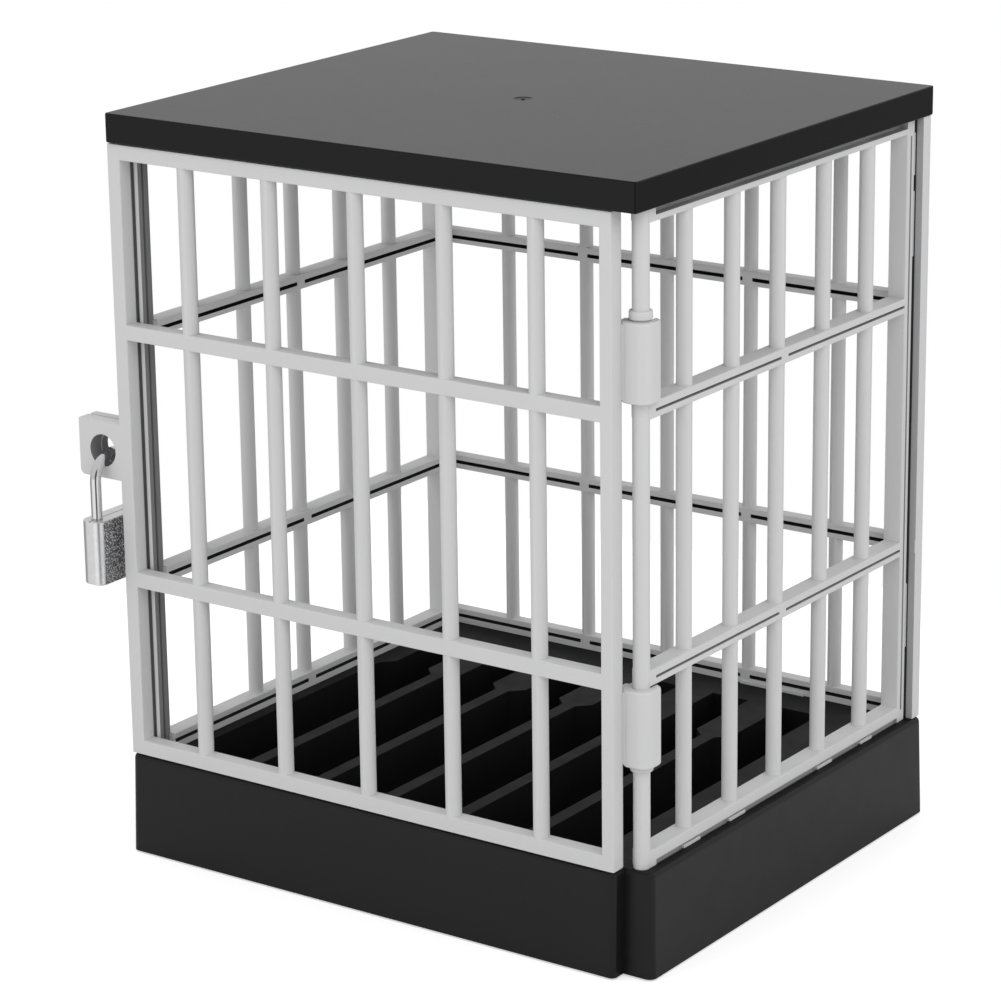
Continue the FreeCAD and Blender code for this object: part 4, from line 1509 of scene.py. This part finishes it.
# ---------------------------------------------------------------- door
@dataclass
class Door:
    """Barred door with two snap-on knuckles and the moving plate of the hasp."""

    hasp: Hasp
    ys: Span = (-68.0, -63.8)
    xs: Span = (-78.3, 70.9)
    zs: Span = (27.5, 187.8)
    left_stile: float = 4.0
    right_stile: float = 3.4
    hinge_stile_rear: float = -62.8
    rails: tuple[Span, ...] = ((27.5, 31.5), (73.0, 77.1), (138.0, 142.0), (183.8, 187.8))
    bar_radius: float = 2.0
    bar_xs: tuple[float, ...] = (-55.2, -29.2, -3.2, 22.8, 48.8)
    hinge_x: float = 73.76
    hinge_y: float = -60.12
    bore_radius: float = 2.12
    post_radius: float = 2.06
    knuckle_half: float = 4.1
    knuckle_round: float = 2.9
    knuckles: tuple[Span, ...] = ((53.4, 72.6), (142.3, 161.5))
    mouth: float = 3.7
    plate_ys: Span = (-68.0, -64.1)
    edge: float = 0.35

    def knuckle(self, zs: Span) -> bmesh.types.BMesh:
        """Rounded square knuckle between two heights."""
        half = self.knuckle_half
        xs = (self.hinge_x - half, self.hinge_x + half)
        ys = (self.hinge_y - half, self.hinge_y + half)
        return prism(rectangle(xs, ys, self.knuckle_round), zs, edge=0.5)

    def build(self, plastics: Sequence[bpy.types.Material]) -> bpy.types.Object:
        """Shape and dress the door.

        Args:
            plastics: Material of the bars and its darker copies that paint shade, one of them in the hasp's eye.

        Returns:
            The piece.
        """
        left, right = self.xs
        rails = [block((left, right - 2.0), self.ys, zs, self.edge) for zs in self.rails]
        left_stile = block((left, left + self.left_stile), self.ys, self.zs, self.edge)
        right_stile = block(
            (right - self.right_stile, right), (self.ys[0], self.hinge_stile_rear), self.zs
        )
        rear_edge = grouped(
            right_stile, lambda co: co.x > right - 1e-3 and co.y > self.hinge_stile_rear - 1e-3
        )
        soften(right_stile, rear_edge, 1.5, 6)
        sharp = [e for e in right_stile.edges if e.calc_face_angle(0.0) > 0.6]
        soften(right_stile, sharp, self.edge, 2)
        middle = (self.ys[0] + self.ys[1]) / 2.0
        low, high = self.rails[0][1] - 1.0, self.rails[3][0] + 1.0
        bars = [rod(self.bar_radius, (x, middle, low), (x, middle, high)) for x in self.bar_xs]
        web_xs = (68.0, self.hinge_x - self.post_radius)
        web_ys = (self.ys[1] - 0.3, self.hinge_y + self.post_radius)
        webs = [block(web_xs, web_ys, (zs[0] + 0.6, zs[1] - 0.6), 0.2) for zs in self.knuckles]
        adds = rails[1:] + [left_stile, right_stile, self.hasp.plate(left + 1.0, self.plate_ys)]
        adds += bars + webs + [self.knuckle(zs) for zs in self.knuckles]
        door = worked(rails[0], Cut.JOIN, adds)
        x, y = self.hinge_x, self.hinge_y
        tools = [
            rod(self.bore_radius, (x, y, zs[0] - 1.0), (x, y, zs[1] + 1.0), sides=48)
            for zs in self.knuckles
        ]
        mouth_xs = (x - self.mouth / 2.0, x + self.mouth / 2.0)
        tools += [
            block(mouth_xs, (y, y + self.knuckle_half + 1.0), (zs[0] - 0.2, zs[1] + 0.2))
            for zs in self.knuckles
        ]
        door = worked(door, Cut.REMOVE, tools)
        return finished(door, "door_bars", Body.DOOR, "bar_plastic", ["door_panel"], plastics)


# ---------------------------------------------------------------- padlock
@dataclass
class Padlock:
    """Small padlock: bent wire shackle and a cast case with hammered sides."""

    x: float = -84.0
    wire: float = 1.4
    arch_radius: float = 6.65
    arch_y: float = -64.6
    arch_z: float = 100.13
    toe_end: float = 86.5
    heel_end: float = 80.0
    latch_z: float = 88.4
    heel_pin_z: float = 86.6
    pin_radius: float = 0.4
    pop: float = 4.5
    case_y: float = -64.65
    case_zs: Span = (73.8, 90.7)
    thickness: float = 6.6
    width: float = 19.2
    corner: float = 2.2
    rim: float = 0.35
    leg_fit: float = 0.1
    plug_bore: float = 2.65
    chamber_ys: Span = (-68.2, -61.9)
    chamber_zs: Span = (87.5, 89.4)
    chamber_half_x: float = 2.1
    broach_half: Span = (1.5, 3.2)
    broach_zs: Span = (77.5, 84.5)
    seam_half: float = 0.15
    seam_depth: float = 0.3
    latch_bore: float = 0.9
    coil_bore: float = 0.75
    pin_reach: float = -81.5
    plug_pin_offset: float = 2.55
    plug_pin_z: float = 76.5
    heel_pin_offset: float = 0.25
    tip_round: float = 0.5
    notch_depth: float = 0.75
    ramp_exit: float = 0.15
    flat_depth: float = 0.7
    latch_coil_ys: Span = (-64.4, -60.1)
    latch_coil_radius: float = 0.5
    latch_coil_wire: float = 0.1
    latch_coil_turns: int = 7
    latch_travel: float = 2.2
    heel_seat: float = 74.8
    heel_coil_radius: float = 1.05
    heel_coil_wire: float = 0.22
    heel_coil_turns: int = 5

    def shackle(self, plating: bpy.types.Material) -> bpy.types.Object:
        """Shape and dress the bent wire.

        Args:
            plating: Its material.

        Returns:
            The piece.
        """
        toe_y, heel_y = self.arch_y - self.arch_radius, self.arch_y + self.arch_radius
        bm = bmesh.new()
        start = Matrix.Translation((self.x, toe_y, self.arch_z))
        made = bmesh.ops.create_circle(
            bm, cap_ends=False, segments=40, radius=self.wire, matrix=start
        )
        ring = list({edge for vert in made["verts"] for edge in vert.link_edges})
        turned = bmesh.ops.spin(
            bm,
            geom=ring,
            cent=(self.x, self.arch_y, self.arch_z),
            axis=(-1.0, 0.0, 0.0),
            angle=math.pi,
            steps=48,
            use_duplicate=False,
        )
        far = [item for item in turned["geom_last"] if isinstance(item, bmesh.types.BMEdge)]
        for edges, end in ((ring, self.toe_end), (far, self.heel_end)):
            leg = bmesh.ops.extrude_edge_only(bm, edges=edges)
            verts = [item for item in leg["geom"] if isinstance(item, bmesh.types.BMVert)]
            bmesh.ops.translate(bm, vec=(0.0, 0.0, end - self.arch_z), verts=verts)
        bmesh.ops.holes_fill(bm, edges=bm.edges, sides=0)
        bmesh.ops.recalc_face_normals(bm, faces=bm.faces)
        tip = grouped(bm, lambda co: abs(co.z - self.toe_end) < 1e-3)
        soften(bm, tip, self.tip_round, 4)
        side = toe_y + self.wire
        deep, shallow, clear = side - self.notch_depth, side - self.ramp_exit, side + 1.0
        high, low = self.latch_z + 1.0, self.toe_end - 1.0
        notch = lying_prism(
            [
                (deep, high, 0.0),
                (deep, self.latch_z - 1.0, 0.0),
                (shallow, self.toe_end, 0.0),
                (shallow, low, 0.0),
                (clear, low, 0.0),
                (clear, high, 0.0),
            ],
            (self.x - 2.0, self.x + 2.0),
        )
        flat_y = heel_y + self.wire
        flat = block(
            (self.x - 2.0, self.x + 2.0),
            (flat_y - self.flat_depth, flat_y + 1.0),
            (
                self.heel_pin_z - self.pop - self.pin_radius - 0.2,
                self.heel_pin_z + self.pin_radius + 0.3,
            ),
        )
        bm = worked(bm, Cut.REMOVE, [notch, flat])
        nodes = ["lock_shackle"]
        return finished(bm, "shackle_wire", Body.SHACKLE, "shackle_chrome", nodes, [plating])

    def case(self, plating: bpy.types.Material, hammered: bpy.types.Material) -> bpy.types.Object:
        """Shape and dress the case.

        Args:
            plating: Material of the narrow sides, the top and the bottom.
            hammered: Material of the two wide sides.

        Returns:
            The piece.
        """
        half = self.thickness / 2.0
        ys = (self.case_y - self.width / 2.0, self.case_y + self.width / 2.0)
        outline = rectangle((self.x - half, self.x + half), ys, self.corner)
        case = prism(outline, self.case_zs, edge=self.rim)
        toe_y, heel_y = self.arch_y - self.arch_radius, self.arch_y + self.arch_radius
        hole = self.wire + self.leg_fit
        top = self.case_zs[1] + 1.0
        tools = [
            rod(hole, (self.x, toe_y, self.toe_end - 0.3), (self.x, toe_y, top)),
            rod(hole, (self.x, heel_y, self.heel_seat), (self.x, heel_y, top)),
            rod(
                self.plug_bore,
                (self.x, self.case_y, self.case_zs[0] - 1.0),
                (self.x, self.case_y, self.chamber_zs[0]),
            ),
            block(
                (self.x - self.chamber_half_x, self.x + self.chamber_half_x),
                self.chamber_ys,
                self.chamber_zs,
            ),
            block(
                (self.x - self.broach_half[0], self.x + self.broach_half[0]),
                (self.case_y - self.broach_half[1], self.case_y + self.broach_half[1]),
                self.broach_zs,
            ),
            block(
                (self.x - self.seam_half, self.x + self.seam_half),
                (ys[0] - 1.0, ys[1] + 1.0),
                (self.case_zs[1] - self.seam_depth, top),
            ),
            rod(
                self.latch_bore,
                (self.x, ys[0] - 1.0, self.latch_z),
                (self.x, self.chamber_ys[0] + 0.1, self.latch_z),
            ),
            rod(
                self.coil_bore,
                (self.x, self.chamber_ys[1] - 0.1, self.latch_z),
                (self.x, self.latch_coil_ys[1], self.latch_z),
            ),
        ]
        pins = (
            (self.case_y + self.plug_pin_offset, self.plug_pin_z),
            (heel_y + self.wire - self.heel_pin_offset, self.heel_pin_z),
        )
        tools += [
            rod(self.pin_radius, (self.x - half - 1.0, y, z), (self.pin_reach, y, z), sides=20)
            for y, z in pins
        ]
        case = worked(case, Cut.REMOVE, tools)
        near = 0.05
        for face in case.faces:
            reach = abs(face.calc_center_median().x - self.x)
            wide = abs(face.normal.x) > 0.9 and reach > half - near
            face.material_index = 1 if wide else 0
        finishes = [plating, hammered]
        return finished(case, "case_casting", Body.CASE, "case_metal", ["lock_case"], finishes)

    def latch_coil(self, steel: bpy.types.Material) -> bpy.types.Object:
        """Shape the spring behind the latch, which shortens as the latch draws back.

        Args:
            steel: Its material.

        Returns:
            The piece.
        """
        start, end = self.latch_coil_ys
        bm = coil(
            self.latch_coil_radius, self.latch_coil_wire, end - start, self.latch_coil_turns
        )
        place = Matrix.Translation((self.x, start, self.latch_z))
        lying = place @ Matrix.Rotation(-math.pi / 2.0, 4, "X")
        bmesh.ops.transform(bm, matrix=lying, verts=bm.verts)
        piece = finished(bm, "latch_coil", Body.CASE, "pin_steel", ["latch_spring"], [steel])
        keep = 1.0 - self.latch_travel / (end - start)
        anchor = (self.x * MM, end * MM, self.latch_z * MM)
        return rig.squash(piece, "latch_slide", axis=(0.0, 1.0, 0.0), anchor=anchor, keep=keep)

    def heel_coil(self, steel: bpy.types.Material) -> bpy.types.Object:
        """Shape the spring under the heel, which lengthens as the case drops.

        Args:
            steel: Its material.

        Returns:
            The piece.
        """
        heel_y = self.arch_y + self.arch_radius
        length = self.heel_end - self.heel_seat
        bm = coil(self.heel_coil_radius, self.heel_coil_wire, length, self.heel_coil_turns)
        bmesh.ops.translate(bm, vec=(self.x, heel_y, self.heel_seat), verts=bm.verts)
        piece = finished(bm, "heel_coil", None, "pin_steel", ["shackle_spring"], [steel])
        low, high = ((self.x * MM, heel_y * MM, z * MM) for z in (self.heel_seat, self.heel_end))
        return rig.blend(piece, Body.CASE.value, Body.SHACKLE.value, low, high)


# ---------------------------------------------------------------- surroundings
@dataclass
class Studio:
    """Pale floor, white surroundings, soft lamps and the camera."""

    azimuth: float = 35.294
    elevation: float = 16.818
    roll: float = -0.757
    lens: float = 135.1
    place: Corner = (0.52778, -0.75783, 0.37034)
    floor_size: float = 0.46
    floor_colour: float = 0.8
    floor_glow: float = 0.5
    light_level: float = 0.84
    light_above: float = 0.78
    mirror_high: float = 0.67
    mirror_dark: float = 0.08
    dark_inner: float = 9.0
    dark_outer: float = 24.0
    mirror_low: tuple[tuple[float, float], ...] = (
        (-180.0, 0.3),
        (-95.0, 0.3),
        (-66.0, 0.36),
        (-41.0, 0.8),
        (-24.0, 1.0),
        (16.0, 1.0),
        (30.0, 0.1),
        (50.0, 0.1),
        (62.0, 0.9),
        (112.0, 0.9),
        (128.0, 0.28),
        (180.0, 0.28),
    )

    @staticmethod
    def towards(azimuth: float, elevation: float) -> Vector:
        """Direction from the cell, in degrees to the right of the door and above the table."""
        az, el = math.radians(azimuth), math.radians(elevation)
        return Vector((math.sin(az) * math.cos(el), -math.cos(az) * math.cos(el), math.sin(el)))

    def camera(self) -> None:
        """Set the camera up."""
        az, roll = math.radians(self.azimuth), math.radians(self.roll)
        back = self.towards(self.azimuth, self.elevation)
        right = Vector((math.cos(az), math.sin(az), 0.0))
        up = back.cross(right)
        side = right * math.cos(roll) + up * math.sin(roll)
        above = up * math.cos(roll) - right * math.sin(roll)
        data = bpy.data.cameras.new("camera")
        data.lens = self.lens
        data.sensor_width = 36.0
        data.clip_start = 0.01
        camera = bpy.data.objects.new("camera", data)
        bpy.context.scene.collection.objects.link(camera)
        turned = Matrix((side, above, back)).transposed().to_4x4()
        camera.matrix_world = Matrix.Translation(self.place) @ turned
        bpy.context.scene.camera = camera

    def floor(self) -> None:
        """Lay a pale floor that reads as white and keeps the shadow."""
        bm = bmesh.new()
        bmesh.ops.create_grid(bm, x_segments=1, y_segments=1, size=self.floor_size / 2.0)
        floor = blank_object(bm, "floor")
        material = bpy.data.materials.new("pale_floor")
        material.use_nodes = True
        tree = material.node_tree
        tree.nodes.clear()
        rays = add_node(tree, "ShaderNodeLightPath").outputs
        pale = (self.floor_colour, self.floor_colour, self.floor_colour, 1.0)
        matt = add_node(tree, "ShaderNodeBsdfDiffuse", inputs={"Color": pale}).outputs["BSDF"]
        glow = add_node(
            tree,
            "ShaderNodeEmission",
            inputs={"Color": (1.0, 1.0, 1.0, 1.0), "Strength": self.floor_glow},
        ).outputs["Emission"]
        both = add_node(tree, "ShaderNodeAddShader", inputs={0: matt, 1: glow}).outputs["Shader"]
        seen = add_node(
            tree, "ShaderNodeMixShader", inputs={0: rays["Is Camera Ray"], 1: matt, 2: both}
        ).outputs["Shader"]
        add_node(tree, "ShaderNodeOutputMaterial", inputs={"Surface": seen})
        floor.data.materials.append(material)
        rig.stage(floor)

    def world(self) -> None:
        """Surround the cell with white for the eye, plain grey light, and a room for reflections.

        The light is a little weaker from above. The reflected room is pale above the table with a
        dark place where the cell is looked at from; below the table's level it changes round the
        compass.
        """
        world = bpy.data.worlds.new("surroundings")
        bpy.context.scene.world = world
        world.use_nodes = True
        tree = world.node_tree
        tree.nodes.clear()
        rays = add_node(tree, "ShaderNodeLightPath").outputs
        way = add_node(tree, "ShaderNodeTexCoord").outputs["Generated"]
        parts = add_node(tree, "ShaderNodeSeparateXYZ", inputs={0: way}).outputs
        light = add_node(
            tree,
            "ShaderNodeMapRange",
            inputs={
                "Value": parts["Z"],
                "From Min": 0.0,
                "From Max": 1.0,
                "To Min": self.light_level,
                "To Max": self.light_above,
            },
        ).outputs["Result"]
        mirrored_room = self.room(tree, way, parts)
        by_mirror = add_node(
            tree,
            "ShaderNodeMath",
            {"operation": "MAXIMUM"},
            {0: rays["Is Glossy Ray"], 1: rays["Is Transmission Ray"]},
        ).outputs["Value"]
        level = add_node(
            tree,
            "ShaderNodeMix",
            {"data_type": "FLOAT"},
            {0: by_mirror, 2: light, 3: mirrored_room},
        ).outputs[0]
        shown = add_node(
            tree,
            "ShaderNodeMix",
            {"data_type": "FLOAT"},
            {0: rays["Is Camera Ray"], 2: level, 3: 1.0},
        ).outputs[0]
        surface = add_node(
            tree, "ShaderNodeBackground", inputs={"Color": (1.0, 1.0, 1.0, 1.0), "Strength": shown}
        ).outputs["Background"]
        add_node(tree, "ShaderNodeOutputWorld", inputs={"Surface": surface})

    def room(
        self,
        tree: bpy.types.NodeTree,
        way: bpy.types.NodeSocket,
        parts: bpy.types.bpy_prop_collection,
    ) -> bpy.types.NodeSocket:
        """Level of the reflected room in each direction.

        Args:
            tree: Node tree of the world.
            way: Direction that is looked in.
            parts: Its x, y and z.

        Returns:
            The level.
        """
        facing = add_node(
            tree,
            "ShaderNodeVectorMath",
            {"operation": "DOT_PRODUCT"},
            {0: way, 1: self.towards(self.azimuth, 12.0)},
        ).outputs["Value"]
        high = add_node(
            tree,
            "ShaderNodeMapRange",
            {"interpolation_type": "SMOOTHSTEP"},
            {
                "Value": facing,
                "From Min": math.cos(math.radians(self.dark_outer)),
                "From Max": math.cos(math.radians(self.dark_inner)),
                "To Min": self.mirror_high,
                "To Max": self.mirror_dark,
            },
        ).outputs["Result"]
        front = add_node(
            tree, "ShaderNodeMath", {"operation": "MULTIPLY"}, {0: parts["Y"], 1: -1.0}
        ).outputs["Value"]
        compass = add_node(
            tree, "ShaderNodeMath", {"operation": "ARCTAN2"}, {0: parts["X"], 1: front}
        ).outputs["Value"]
        place = add_node(
            tree,
            "ShaderNodeMapRange",
            inputs={"Value": compass, "From Min": -math.pi, "From Max": math.pi},
        ).outputs["Result"]
        round_about = add_node(tree, "ShaderNodeValToRGB", inputs={"Fac": place})
        stops = round_about.color_ramp.elements
        while len(stops) < len(self.mirror_low):
            stops.new(0.5)
        for stop, (azimuth, _) in zip(stops, self.mirror_low):
            stop.position = azimuth / 360.0 + 0.5
        for stop, (_, grey) in zip(stops, self.mirror_low):
            stop.color = (grey, grey, grey, 1.0)
        above = add_node(
            tree,
            "ShaderNodeMapRange",
            inputs={"Value": parts["Z"], "From Min": -0.04, "From Max": 0.04},
        ).outputs["Result"]
        return add_node(
            tree,
            "ShaderNodeMix",
            {"data_type": "FLOAT"},
            {0: above, 2: round_about.outputs["Color"], 3: high},
        ).outputs[0]

    def lamp(self, name: str, way: Vector, distance: float, size: float, power: float) -> None:
        """Hang one square soft lamp that points at the cell.

        Args:
            name: Name of the lamp.
            way: Direction from the cell.
            distance: Metres from the middle of the cell.
            size: Side of the lamp in metres.
            power: Watts.
        """
        data = bpy.data.lights.new(name, "AREA")
        data.shape = "SQUARE"
        data.size = size
        data.energy = power
        lamp = bpy.data.objects.new(name, data)
        bpy.context.scene.collection.objects.link(lamp)
        lamp.visible_glossy = False
        turned = way.to_track_quat("Z", "Y").to_matrix().to_4x4()
        lamp.matrix_world = Matrix.Translation(way * distance + Vector((0.0, 0.0, 0.1))) @ turned

    def build(self) -> None:
        """Put the surroundings in place."""
        self.camera()
        self.floor()
        self.world()
        self.lamp("key_lamp", self.towards(-30.0, 42.0), 1.8, 0.9, 3.0)
        self.lamp("fill_lamp", self.towards(62.0, 38.0), 0.8, 0.45, 1.2)
        bpy.context.scene.view_settings.view_transform = "Standard"


# ---------------------------------------------------------------- whole cell
def dress(frame: dict[str, object], finishes: dict[str, bpy.types.Material]) -> None:
    """Give the nodes that stay as solids their materials.

    Args:
        frame: The loaded frame.
        finishes: Material of each node by name.
    """
    for name, material in finishes.items():
        node = frame["nodes"][name]
        node.data.materials.clear()
        node.data.materials.append(material)
        log.info("%s: keeps its solid, dressed with %s", name, material.name)


def main() -> None:
    """Build the cell's visual model round its frame."""
    logging.basicConfig(level=logging.INFO, format="%(name)s %(message)s")
    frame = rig.load()
    solid_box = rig.bounds()
    Studio().build()

    # The bar plastic followed by its darker copies that paint shade in grooves, strips and nooks.
    bars = [finish.material() for finish in (BAR_PLASTIC, BAR_GROOVE_SHADE, BAR_STRIP_SHADE, BAR_NOOK_SHADE)]
    heights = RailHeights()
    hasp = Hasp()
    # The rack's own black, also laid on the base's upper rim as painted shade.
    rack_black_and_rim_shade = RACK_PLASTIC.material()
    Base().build(BASE_PLASTIC.material(), rack_black_and_rim_shade)
    PhoneRack().build(rack_black_and_rim_shade)
    HingeWall(heights).build(bars)
    HaspWall(heights, hasp=hasp).build(bars)
    BackWall(heights).build(bars)
    Lid().build(LID_PLASTIC.material())
    Door(hasp).build(bars)
    padlock = Padlock()
    plating = CASE_PLATING.material()
    padlock.shackle(SHACKLE_PLATING.material())
    padlock.case(plating, CASE_HAMMERED.material())
    steel = SPRING_STEEL.material()
    padlock.latch_coil(steel)
    padlock.heel_coil(steel)

    brass = PLUG_BRASS.material()
    dress(
        frame,
        {
            "base_cover": COVER_PLASTIC.material(),
            "foot_pad": PAD_RUBBER.material(),
            "cover_screws": SCREW_ZINC.material(),
            "case_pins": steel,
            "lock_plug": brass,
            "lock_wafers": brass,
            "lock_latch": brass,
            "wafer_springs": steel,
            "latch_bore_plug": plating,
        },
    )
    boxes = {
        "solids": [list(corner) for corner in solid_box],
        "visual": [list(corner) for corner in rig.bounds()],
    }
    with open(BOX_FILE, "w", encoding="utf-8") as file:
        json.dump(boxes, file)


if __name__ == "__main__":
    main()
